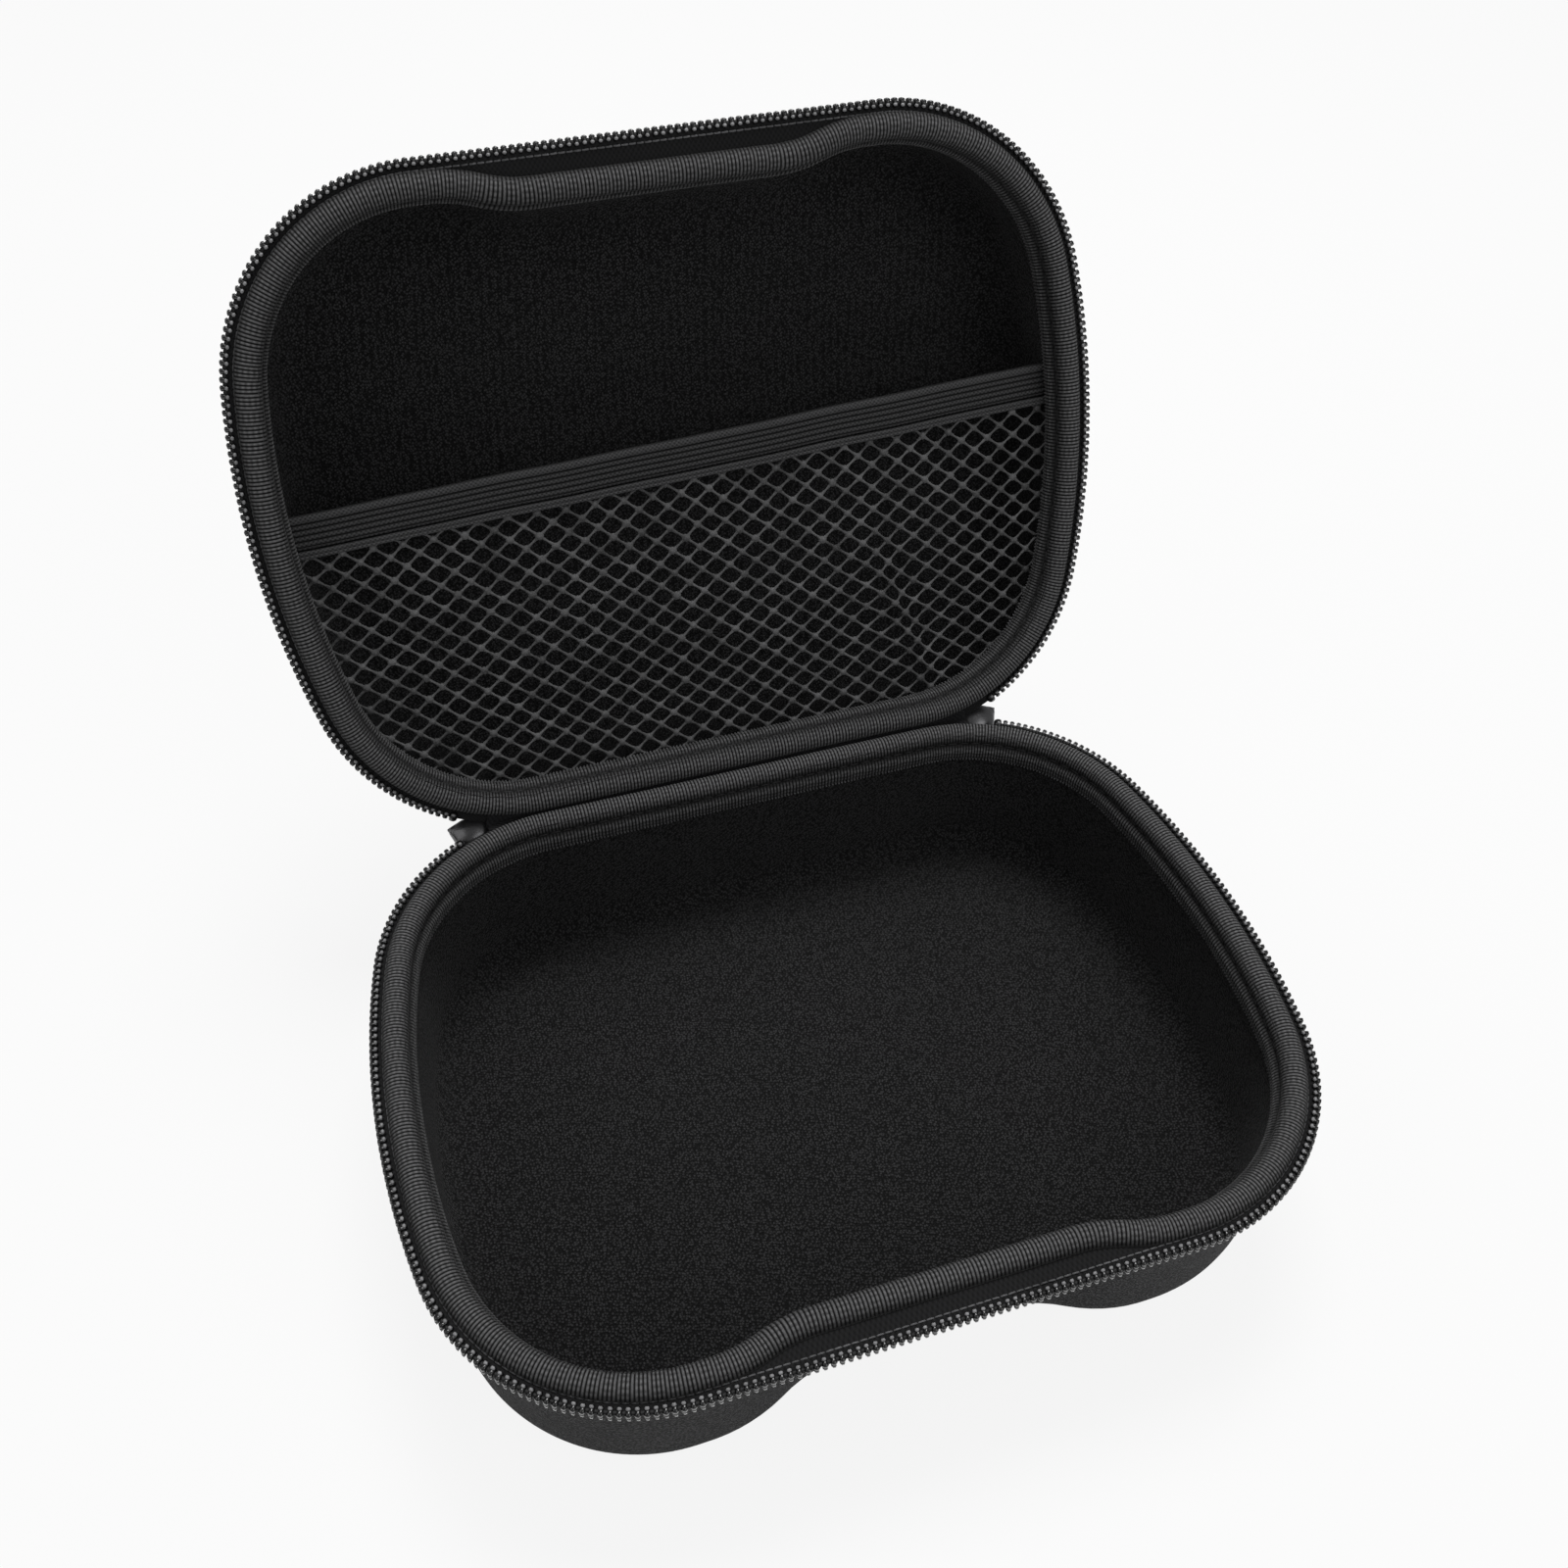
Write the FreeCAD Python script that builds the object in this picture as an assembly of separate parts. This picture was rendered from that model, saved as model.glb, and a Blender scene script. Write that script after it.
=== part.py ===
import FreeCAD, Part
import math
import os

# A padded hard case that opens like a book: a deep base tray, a shallower lid on a cloth hinge,
# a coil zip round three sides and a net pocket in the lid. All lengths are in millimetres.
# The rim plan is one smooth line of arcs. Each piece is an inset of it, so they all stay parallel.

# Rim plan, measured on the outer edge of the rim binding
BACK_HALF = 46.2
BACK_CORNER_R = 42.0
BACK_CORNER_TURN = 76.0
SIDE_R = 176.6
SIDE_TURN = 23.0
FRONT_CORNER_R = 42.0
FRONT_CORNER_TURN = 180.0 - BACK_CORNER_TURN - SIDE_TURN

# Waist in the middle of the front edge, between the two front lobes; below the zip its wall
# leans further in, and reaches the foot depth at the foot of the base
WAIST_DEPTH = 3.4
WAIST_FOOT_DEPTH = 9.5
WAIST_SHOULDER = 9.0
WAIST_LOBE_R = 36.0
WAIST_HOLLOW_R = 28.0
WAIST_LEAD = 2.5

# Heights
BASE_DEPTH = 44.0
LID_DEPTH = 30.0
RIM_GAP = 0.15

# Wall layers, from the outside in
DRAFT = math.tan(math.radians(3.0))
WALL_INSET = 0.8
T_FABRIC = 0.6
T_FOAM = 2.6
T_LINING = 0.7
T_FLOOR_PAD = 2.4
WALL_TOP = 1.0
BASE_EDGE_R = 10.0
LID_EDGE_R = 13.0

# Rim binding
ROLL_WIDTH = 5.4
ROLL_FOOT = 2.6
BAND_FOOT = 8.0
BAND_BULGE = 1.3
BAND_FIT = 0.05

# Zip
TAPE_T = 0.6
TAPE_FLANGE = 6.0
COIL_OUT = 2.8
COIL_W = 2.2
COIL_H = 2.2
COIL_CHAMFER = 0.6
ZIP_END_TURN = 30.0
STOP_L = 1.5
STOP_OVER = 0.45

# Hinge
LID_OPEN = 115.0
HINGE_INSET = 0.8
HINGE_PAST_CORNER = 10.0
HINGE_STRIP_T = 0.7
HINGE_STRIP_H = 10.0

# Net pocket in the lid
POCKET_LEVEL = 8.7
POCKET_TILT = 1.85
BAND_Y0 = -8.3
BAND_Y1 = -1.0
BAND_RIBS = 5
BAND_RIB_RISE = 0.35
BAND_T = 1.2
HEM_GAP = 0.2
HEM_Y1 = 1.1
NET_T = 0.6
NET_PITCH = 9.2
NET_THREAD = 1.1
NET_ROW_HALF = 9

# Sliders and pulls
SLIDER_TURN = 20.0
SLIDER_OUT = 4.44
SLIDER_DROP = 4.5
SLIDER_TOE_OUT = 0.9
SLIDER_L = 10.0
SLIDER_W = 7.4
SLIDER_NOSE_W = 4.6
SLIDER_H = 4.4
SLIDER_PLATE = 1.1
SLIDER_FLANGE = 0.65
SLIDER_WALL = 0.8
SLIDER_WEDGE_R = 1.1
BRIDGE_BACK = 3.4
BRIDGE_FRONT = 3.0
BRIDGE_BEND_R = 1.0
BRIDGE_RISE = 2.6
BRIDGE_D = 1.3
PULL_L = 22.0
PULL_W = 5.6
PULL_T = 1.4
PULL_PLAY = 0.55
PULL_EYE_WALL = 0.9
PULL_NECK = 6.0
PULL_SLOT_L = 8.0
PULL_SLOT_W = 2.4

# Tools that trim a piece are made this long, well past the case
TRIM = 400.0


def vec(x, y, z):
    return FreeCAD.Vector(x, y, z)


def plan_depth():
    """Front to back length of the rim plan."""
    turn1 = math.radians(BACK_CORNER_TURN)
    turn2 = math.radians(BACK_CORNER_TURN + SIDE_TURN)
    back = BACK_CORNER_R * (1.0 - math.cos(turn1))
    side = SIDE_R * (math.cos(turn1) - math.cos(turn2))
    front = FRONT_CORNER_R * (math.cos(turn2) + 1.0)
    return back + side + front


def front_half():
    """Half length of the straight front edge, before the waist is cut into it."""
    turn1 = math.radians(BACK_CORNER_TURN)
    turn2 = math.radians(BACK_CORNER_TURN + SIDE_TURN)
    x = BACK_HALF + BACK_CORNER_R * math.sin(turn1)
    x = x + SIDE_R * (math.sin(turn2) - math.sin(turn1))
    return x - FRONT_CORNER_R * math.sin(turn2)


BACK_Y = plan_depth() / 2.0
HINGE_Y = BACK_Y - HINGE_INSET
HINGE_HALF = BACK_HALF + HINGE_PAST_CORNER
CORNER_C = vec(BACK_HALF, BACK_Y - BACK_CORNER_R, 0.0)
COIL_R = BACK_CORNER_R + COIL_OUT - COIL_W / 2.0
ZIP_END_X = BACK_HALF + COIL_R * math.sin(math.radians(ZIP_END_TURN))


def waist_at(depth):
    """How far the waist is cut in at a depth below the rim plane."""
    lean = (WAIST_FOOT_DEPTH - WAIST_DEPTH) / (BASE_DEPTH - WAIST_SHOULDER)
    return WAIST_DEPTH + lean * max(0.0, depth - WAIST_SHOULDER)


def waist_turn(waist):
    """Turn of each arc of the waist, in degrees, from how far the waist is cut in."""
    return math.degrees(math.acos(1.0 - waist / (WAIST_LOBE_R + WAIST_HOLLOW_R)))


def half_plan(waist):
    """Right half of the rim plan from the back centre to the front centre, as lines and turning arcs."""
    steps = [("line", BACK_HALF)]
    steps.append(("arc", BACK_CORNER_R, BACK_CORNER_TURN))
    steps.append(("arc", SIDE_R, SIDE_TURN))
    steps.append(("arc", FRONT_CORNER_R, FRONT_CORNER_TURN))
    if waist == 0.0:
        steps.append(("line", front_half()))
        return steps
    turn = waist_turn(waist)
    reach = (WAIST_LOBE_R + WAIST_HOLLOW_R) * math.sin(math.radians(turn))
    steps.append(("line", WAIST_LEAD))
    steps.append(("arc", WAIST_LOBE_R, turn))
    steps.append(("arc", WAIST_HOLLOW_R, -turn))
    steps.append(("line", front_half() - WAIST_LEAD - reach))
    return steps


def rim_wire(inset, z, waist=WAIST_DEPTH):
    """Closed wire parallel to the rim plan, inset towards the middle, at height z."""
    right = half_plan(waist)
    x = 0.0
    y = BACK_Y - inset
    heading = 0.0
    edges = []
    for step in right + right[::-1]:
        along = vec(math.cos(heading), -math.sin(heading), 0.0)
        inward = vec(-math.sin(heading), -math.cos(heading), 0.0)
        start = vec(x, y, z)
        if step[0] == "line":
            end = start + along * step[1]
            edges.append(Part.makeLine(start, end))
        else:
            side = 1.0 if step[2] > 0.0 else -1.0
            radius = step[1] - side * inset
            turn = math.radians(step[2])
            centre = start + inward * (side * radius)
            middle = arc_point(centre, start, -turn / 2.0)
            end = arc_point(centre, start, -turn)
            edges.append(Part.Arc(start, middle, end).toShape())
            heading = heading + turn
        x = end.x
        y = end.y
    return Part.Wire(edges)


def arc_point(centre, start, angle):
    """The start point turned about a vertical line through the centre."""
    dx = start.x - centre.x
    dy = start.y - centre.y
    c = math.cos(angle)
    s = math.sin(angle)
    return vec(centre.x + dx * c - dy * s, centre.y + dx * s + dy * c, start.z)


def wall_inset(layer, depth):
    """Inset of a wall face at a depth below the rim plane, with the draft of the mould."""
    return WALL_INSET + layer + depth * DRAFT


def wall_wire(layer, depth):
    """Line round the wall at a depth below the rim plane."""
    return rim_wire(wall_inset(layer, depth), -depth, waist_at(depth))


def tub(layer, depth, edge_r, top=WALL_TOP):
    """Solid tub with drafted walls and a rounded foot, one layer in from the outer skin."""
    floor = depth - layer
    levels = [top, WAIST_SHOULDER, floor]
    body = Part.makeLoft([wall_wire(layer, level) for level in levels], True, True)
    foot = [e for e in body.Edges if e.BoundBox.ZMax < -floor + 0.01]
    return body.makeFillet(edge_r - layer, foot)


def wall_ring(layer_out, layer_in, top, foot):
    """Thin drafted ring that follows the wall between two depths."""
    cones = []
    for layer in (layer_out, layer_in):
        upper = rim_wire(wall_inset(layer, top), -top)
        lower = rim_wire(wall_inset(layer, foot), -foot)
        cones.append(Part.makeLoft([upper, lower], True, True))
    return cones[0].cut(cones[1])


def shell_layers(depth, edge_r, pad):
    """Outer fabric, foam board and lining of one half; the pad makes the foam floor thicker."""
    skin = tub(0.0, depth, edge_r)
    board = tub(T_FABRIC, depth, edge_r)
    cloth = tub(T_FABRIC + T_FOAM, depth - pad, edge_r)
    hollow = tub(T_FABRIC + T_FOAM + T_LINING, depth - pad, edge_r)
    return skin.cut(board), board.cut(cloth), cloth.cut(hollow)


def section(u, v):
    """Point of a rim section at the back centre, u in from the rim plan and v below the rim."""
    return vec(0.0, BACK_Y - u, -v)


def binding():
    """Rim binding: a full roll over the edge of the wall and a band turned down inside it."""
    inner = T_FABRIC + T_FOAM + T_LINING
    roll_a = section(0.0, ROLL_FOOT)
    roll_b = section(ROLL_WIDTH, ROLL_FOOT)
    roll_top = section(ROLL_WIDTH / 2.0, RIM_GAP)
    groove = section(ROLL_WIDTH - RIM_GAP, ROLL_FOOT + 2.0 * RIM_GAP)
    mid = (ROLL_FOOT + BAND_FOOT) / 2.0
    bulge = section(wall_inset(inner, mid) + BAND_BULGE, mid)
    hem = section(wall_inset(inner, BAND_FOOT) + 0.4 * BAND_BULGE, BAND_FOOT - 0.1)
    wall_low = section(wall_inset(inner, BAND_FOOT) + BAND_FIT, BAND_FOOT)
    wall_high = section(wall_inset(inner, WALL_TOP) + BAND_FIT, WALL_TOP)
    out_high = section(wall_inset(0.0, WALL_TOP), WALL_TOP)
    out_low = section(wall_inset(0.0, ROLL_FOOT), ROLL_FOOT)
    edges = [Part.Arc(roll_a, roll_top, roll_b).toShape()]
    edges.append(Part.makeLine(roll_b, groove))
    edges.append(Part.Arc(groove, bulge, hem).toShape())
    edges.append(Part.makeLine(hem, wall_low))
    edges.append(Part.makeLine(wall_low, wall_high))
    edges.append(Part.makeLine(wall_high, out_high))
    edges.append(Part.makeLine(out_high, out_low))
    edges.append(Part.makeLine(out_low, roll_a))
    return rim_wire(0.0, 0.0).makePipeShell([Part.Wire(edges)], True, False)


def hinge_side(half):
    """Box over the hinge side of the rim, used to end the zip pieces or to keep the hinge pieces."""
    depth = BACK_CORNER_R + 2.0 * COIL_OUT
    return Part.makeBox(2.0 * half, depth, 2.0 * BASE_DEPTH, vec(-half, CORNER_C.y, -BASE_DEPTH))


def zipper_tape():
    """Woven tape: a leaf that reaches out to the coil and a flange sewn down the wall."""
    edge = COIL_OUT - COIL_W
    leaf_out = Part.Face(rim_wire(-edge, -ROLL_FOOT - TAPE_T, 0.0))
    leaf_in = Part.Face(rim_wire(wall_inset(0.0, ROLL_FOOT), -ROLL_FOOT - TAPE_T))
    leaf = leaf_out.cut(leaf_in).extrude(vec(0, 0, TAPE_T))
    flange = wall_ring(-TAPE_T, 0.0, ROLL_FOOT + 0.2, ROLL_FOOT + TAPE_FLANGE)
    return leaf.fuse(flange).removeSplitter().cut(hinge_side(ZIP_END_X))


def coil_level():
    return -ROLL_FOOT - TAPE_T / 2.0


def zipper_coil():
    """Nylon coil as one chamfered bar along the edge of the tape, open across the hinge side."""
    zc = coil_level()
    out = COIL_OUT
    h = COIL_H / 2.0
    c = COIL_CHAMFER
    core = Part.Face(rim_wire(-out, 0.0, 0.0)).cut(Part.Face(rim_wire(COIL_W - out, 0.0, 0.0)))
    core = core.extrude(vec(0, 0, COIL_H - 2.0 * c))
    core.translate(vec(0, 0, zc - h + c))
    top = coil_cap(zc + h - c, zc + h, out, c)
    low = coil_cap(zc - h + c, zc - h, out, c)
    bar = core.fuse([top, low]).removeSplitter()
    return bar.cut(hinge_side(ZIP_END_X)).cut(zipper_stops())


def coil_cap(z0, z1, out, c):
    """Chamfered upper or lower part of the coil bar."""
    edge = COIL_W - out
    outer = Part.makeLoft([rim_wire(-out, z0, 0.0), rim_wire(-out + c, z1, 0.0)], True, True)
    inner = Part.makeLoft([rim_wire(edge, z0, 0.0), rim_wire(edge - c, z1, 0.0)], True, True)
    return outer.cut(inner)


def zip_end(side):
    """Point and heading of the zip where the coil meets the slider, on the coil's middle line."""
    y = CORNER_C.y + COIL_R * math.cos(math.radians(ZIP_END_TURN))
    return vec(side * ZIP_END_X, y, coil_level()), ZIP_END_TURN


def zipper_stops():
    """Two small moulded stops, one over each end of the coil."""
    stops = []
    for side in (1.0, -1.0):
        point, heading = zip_end(side)
        w = COIL_W + 2.0 * STOP_OVER
        h = COIL_H + 2.0 * STOP_OVER
        block = Part.makeBox(STOP_L, w, h, vec(-STOP_L, -w / 2.0, -h / 2.0))
        long_edges = [e for e in block.Edges if e.BoundBox.XLength > 0.9 * STOP_L]
        block = block.makeFillet(0.25 * STOP_L, long_edges)
        block.rotate(vec(0, 0, 0), vec(0, 0, 1), -heading)
        if side < 0.0:
            block = block.mirror(vec(0, 0, 0), vec(1, 0, 0))
        block.translate(point)
        stops.append(block)
    return Part.makeCompound(stops)


def hinge_leaf():
    """One leaf of the cloth hinge strip, sewn to the outside of the back wall below the roll."""
    ring = wall_ring(-HINGE_STRIP_T, 0.0, ROLL_FOOT + 0.1, ROLL_FOOT + HINGE_STRIP_H)
    return ring.common(hinge_side(HINGE_HALF))


def pocket_field(y0, y1):
    """Tall block between two lines across the lid, inside the lining, that trims the pocket pieces."""
    layer = T_FABRIC + T_FOAM + T_LINING
    half = 2.0 * BAND_T
    rim = rim_wire(wall_inset(layer, POCKET_LEVEL + BAND_T), -POCKET_LEVEL - half)
    inside = Part.Face(rim).extrude(vec(0, 0, 2.0 * half))
    strip = Part.makeBox(TRIM, y1 - y0, TRIM, vec(-TRIM / 2.0, y0, -TRIM / 2.0))
    return inside.common(turned(strip, -POCKET_TILT))


def turned(shape, angle):
    """The shape turned about the vertical through the middle; the pocket hangs a little askew."""
    out = shape.copy()
    out.rotate(vec(0, 0, 0), vec(0, 0, 1), angle)
    return out


def ribbed_strip(y0, y1, ribs, thick, rib_rise):
    """Strip across the lid whose face carries rounded ribs along its length."""
    pitch = (y1 - y0) / ribs
    x = -TRIM / 2.0
    low = -POCKET_LEVEL - 1.5 * NET_T
    face = low + thick - rib_rise
    edges = [Part.makeLine(vec(x, y0, face), vec(x, y0, low))]
    edges.append(Part.makeLine(vec(x, y0, low), vec(x, y1, low)))
    edges.append(Part.makeLine(vec(x, y1, low), vec(x, y1, face)))
    for i in range(ribs):
        a = y1 - i * pitch
        b = a - pitch
        crown = vec(x, (a + b) / 2.0, face + rib_rise)
        edges.append(Part.Arc(vec(x, a, face), crown, vec(x, b, face)).toShape())
    bar = Part.Face(Part.Wire(edges)).extrude(vec(TRIM, 0, 0))
    return turned(bar, -POCKET_TILT).common(pocket_field(y0 - pitch, y1 + pitch))


def diamond(x, y, size, z0, z1):
    """Prism with a square plan standing on its corner."""
    block = Part.makeBox(size, size, z1 - z0, vec(-size / 2.0, -size / 2.0, z0))
    block.rotate(vec(0, 0, 0), vec(0, 0, 1), 45.0)
    block.translate(vec(x, y, 0.0))
    return block


def pocket_net():
    """Net of the pocket: a thin sheet under the hem with rows of diamond gaps."""
    low = -POCKET_LEVEL - NET_T
    layer = T_FABRIC + T_FOAM + T_LINING
    slab = Part.makeBox(TRIM, TRIM, NET_T, vec(-TRIM / 2.0, -TRIM / 2.0, low))
    sheet = pocket_field(HEM_Y1, BACK_Y).common(slab)
    gap = NET_PITCH - NET_THREAD
    reach = gap / math.sqrt(2.0)
    margin = Part.Face(rim_wire(wall_inset(layer, POCKET_LEVEL) + NET_THREAD, low))
    margin = turned(margin, POCKET_TILT)
    step = NET_PITCH * math.sqrt(2.0)
    holes = []
    row = 0
    y = HEM_Y1 + reach + NET_THREAD
    while y + reach < BACK_Y:
        shift = (row % 2) * step / 2.0
        for i in range(-NET_ROW_HALF, NET_ROW_HALF + 1):
            x = i * step + shift
            sides = [vec(x + reach, y, low), vec(x - reach, y, low)]
            ends = [vec(x, y + reach, low), vec(x, y - reach, low)]
            if all(margin.isInside(c, 0.01, True) for c in sides + ends):
                hole = diamond(x, y, gap, low - NET_T, low + 2.0 * NET_T)
                holes.append(turned(hole, -POCKET_TILT))
        y = y + step / 2.0
        row = row + 1
    return sheet.cut(holes)


def to_base(shape):
    """Base pieces are raised so that the foot stands on the ground plane."""
    out = shape.copy()
    out.translate(vec(0, 0, BASE_DEPTH))
    return out


def to_lid(shape):
    """Lid pieces are mirrored over the rim plane and turned open about the hinge."""
    out = shape.mirror(vec(0, 0, 0), vec(0, 0, 1))
    out.translate(vec(0, 0, BASE_DEPTH))
    out.rotate(vec(0, HINGE_Y, BASE_DEPTH), vec(1, 0, 0), -LID_OPEN)
    return out


def slider_plan():
    """Shield outline of a slider plate, wide at the mouth and round at the nose, about its own middle."""
    hl = SLIDER_L / 2.0
    hw = SLIDER_W / 2.0
    hn = SLIDER_NOSE_W / 2.0
    mouth = 0.4 * SLIDER_L
    a = vec(hl, -hw, 0)
    b = vec(hl, hw, 0)
    c = vec(hl - mouth, hw, 0)
    d = vec(-hl + hn, hn, 0)
    tip = vec(-hl, 0, 0)
    e = vec(-hl + hn, -hn, 0)
    f = vec(hl - mouth, -hw, 0)
    edges = [Part.makeLine(a, b), Part.makeLine(b, c), Part.makeLine(c, d)]
    edges.append(Part.Arc(d, tip, e).toShape())
    edges.append(Part.makeLine(e, f))
    edges.append(Part.makeLine(f, a))
    return Part.Wire(edges)


def slider_plate():
    """Upper plate of the slider with rounded edges and a low flange down each side."""
    half = SLIDER_H / 2.0
    under = half - SLIDER_PLATE
    plate = Part.Face(slider_plan()).extrude(vec(0, 0, SLIDER_PLATE))
    plate.translate(vec(0, 0, under))
    upright = [e for e in plate.Edges if e.BoundBox.ZLength > 0.5 * SLIDER_PLATE]
    corners = [e for e in upright if e.BoundBox.XMin > SLIDER_L / 2.0 - 0.1]
    plate = plate.makeFillet(1.1 * SLIDER_PLATE, corners)
    rim = [e for e in plate.Edges if e.BoundBox.ZMin > half - 0.01]
    plate = plate.makeFillet(0.55 * SLIDER_PLATE, rim)
    flange = Part.Face(slider_plan()).extrude(vec(0, 0, SLIDER_FLANGE))
    flange.translate(vec(0, 0, under - SLIDER_FLANGE))
    width = SLIDER_W - 2.0 * SLIDER_WALL
    low = vec(-SLIDER_L, -width / 2.0, under - SLIDER_H)
    bay = Part.makeBox(2.0 * SLIDER_L, width, SLIDER_H, low)
    return plate.fuse(flange.cut(bay))


def slider_local():
    """Cast slider about its own middle: two flanged plates, a wedge between them and a bridge below."""
    upper = slider_plate()
    lower = upper.mirror(vec(0, 0, 0), vec(0, 0, 1))
    gap = SLIDER_H - 2.0 * SLIDER_PLATE
    foot = vec(0.3 * SLIDER_L, 0, -gap / 2.0)
    wedge = Part.makeCylinder(SLIDER_WEDGE_R, gap, foot, vec(0, 0, 1))
    return upper.fuse([lower, wedge, slider_bridge()]).removeSplitter().Solids[0]


def slider_bridge():
    """Arched bar along the outer plate that the pull hangs from."""
    back = -BRIDGE_BACK
    front = BRIDGE_FRONT
    low = -SLIDER_H / 2.0 + 0.2 * SLIDER_PLATE
    high = -SLIDER_H / 2.0 - BRIDGE_RISE
    r = BRIDGE_BEND_R
    s = r * (1.0 - math.sqrt(0.5))
    a = vec(back, 0, low)
    b = vec(back, 0, high + r)
    c = vec(back + r, 0, high)
    d = vec(front - r, 0, high)
    e = vec(front, 0, high + r)
    path = [Part.makeLine(a, b)]
    path.append(Part.Arc(b, vec(back + s, 0, high + s), c).toShape())
    path.append(Part.makeLine(c, d))
    path.append(Part.Arc(d, vec(front - s, 0, high + s), e).toShape())
    path.append(Part.makeLine(e, vec(front, 0, low)))
    ring = Part.Wire([Part.makeCircle(BRIDGE_D / 2.0, a, vec(0, 0, -1))])
    return Part.Wire(path).makePipeShell([ring], True, False)


def place_slider(shape, side):
    """Stand a right hand slider off the back corner, its plates half way between the open rims."""
    turn = math.radians(SLIDER_TURN)
    radius = BACK_CORNER_R + SLIDER_OUT
    out = shape.copy()
    out.rotate(vec(0, 0, 0), vec(0, 0, 1), -SLIDER_TURN - SLIDER_TOE_OUT)
    out.rotate(vec(0, 0, 0), vec(1, 0, 0), (180.0 - LID_OPEN) / 2.0)
    out.translate(CORNER_C + vec(math.sin(turn), math.cos(turn), 0.0) * radius)
    out.translate(vec(0, 0, BASE_DEPTH - SLIDER_DROP))
    if side < 0.0:
        out = out.mirror(vec(0, 0, 0), vec(1, 0, 0))
    return out


def bridge_point(side):
    """Middle of the bridge bar once the slider is in place, where the pull hangs."""
    middle = (BRIDGE_FRONT - BRIDGE_BACK) / 2.0
    dot = place_slider(Part.Vertex(middle, 0.0, -SLIDER_H / 2.0 - BRIDGE_RISE), side)
    return dot.Point


def pull(side):
    """Flat pull tab hanging straight down from the bridge, with a round eye and a grip hole."""
    hw = PULL_W / 2.0
    eye = BRIDGE_D / 2.0 + PULL_PLAY
    cap = eye + PULL_EYE_WALL
    low = -PULL_L + hw
    edges = [Part.makeLine(vec(0, cap, 0), vec(0, hw, -PULL_NECK))]
    edges.append(Part.makeLine(vec(0, hw, -PULL_NECK), vec(0, hw, low)))
    edges.append(Part.Arc(vec(0, hw, low), vec(0, 0, low - hw), vec(0, -hw, low)).toShape())
    edges.append(Part.makeLine(vec(0, -hw, low), vec(0, -hw, -PULL_NECK)))
    edges.append(Part.makeLine(vec(0, -hw, -PULL_NECK), vec(0, -cap, 0)))
    edges.append(Part.Arc(vec(0, -cap, 0), vec(0, 0, cap), vec(0, cap, 0)).toShape())
    plate = Part.Face(Part.Wire(edges)).extrude(vec(PULL_T, 0, 0))
    plate.translate(vec(-PULL_T / 2.0, 0, 0))
    bore = Part.makeCylinder(eye, 2.0 * PULL_T, vec(-PULL_T, 0, 0), vec(1, 0, 0))
    corner = vec(-PULL_T, -PULL_SLOT_W / 2.0, low - 0.3 * PULL_T)
    slot = Part.makeBox(2.0 * PULL_T, PULL_SLOT_W, PULL_SLOT_L, corner)
    ends = [e for e in slot.Edges if e.BoundBox.XLength > PULL_T]
    slot = slot.makeFillet(0.45 * PULL_SLOT_W, ends)
    plate = plate.cut(bore).cut(slot)
    faces = [e for e in plate.Edges if e.BoundBox.XLength < 0.01]
    plate = plate.makeFillet(0.25 * PULL_T, faces)
    plate.translate(bridge_point(side))
    return plate


def save(shape, name):
    """Write one piece to its own file."""
    shape.exportStep("parts/" + name + ".step")


def base_pieces():
    """Everything that stays with the base tray."""
    fabric, foam, lining = shell_layers(BASE_DEPTH, BASE_EDGE_R, T_FLOOR_PAD)
    save(to_base(fabric), "base_fabric")
    save(to_base(foam), "base_foam_board")
    save(to_base(lining), "base_lining")
    save(to_base(binding()), "base_binding")
    save(to_base(zipper_tape()), "base_zipper_tape")
    save(to_base(zipper_coil()), "base_zipper_coil")
    save(to_base(zipper_stops()), "base_zipper_stops")
    save(to_base(hinge_leaf()), "hinge_strip_base_leaf")
    save(place_slider(slider_local(), 1.0), "slider_right")
    save(place_slider(slider_local(), -1.0), "slider_left")
    save(pull(1.0), "pull_right")
    save(pull(-1.0), "pull_left")


def lid_pieces():
    """Everything that turns with the lid."""
    fabric, foam, lining = shell_layers(LID_DEPTH, LID_EDGE_R, 0.0)
    save(to_lid(fabric), "lid_fabric")
    save(to_lid(foam), "lid_foam_board")
    save(to_lid(lining), "lid_lining")
    save(to_lid(binding()), "lid_binding")
    save(to_lid(zipper_tape()), "lid_zipper_tape")
    save(to_lid(zipper_coil()), "lid_zipper_coil")
    save(to_lid(zipper_stops()), "lid_zipper_stops")
    save(to_lid(hinge_leaf()), "hinge_strip_lid_leaf")
    save(to_lid(ribbed_strip(BAND_Y0, BAND_Y1, BAND_RIBS, BAND_T, BAND_RIB_RISE)), "pocket_elastic_band")
    hem = ribbed_strip(BAND_Y1 + HEM_GAP, HEM_Y1, 2, BAND_T + HEM_GAP, 1.1 * BAND_RIB_RISE)
    save(to_lid(hem), "pocket_hem")
    save(to_lid(pocket_net()), "pocket_net")


os.makedirs("parts", exist_ok=True)
base_pieces()
lid_pieces()
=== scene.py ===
"""Looks for a padded carrying case: woven shells, ribbed rim binding, coil zip, net pocket and cloth hinge."""

import logging
import math
from dataclasses import dataclass, field
from enum import Enum
from typing import Optional, Sequence

import bmesh
import bpy
import numpy as np
from mathutils import Matrix, Vector


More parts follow.
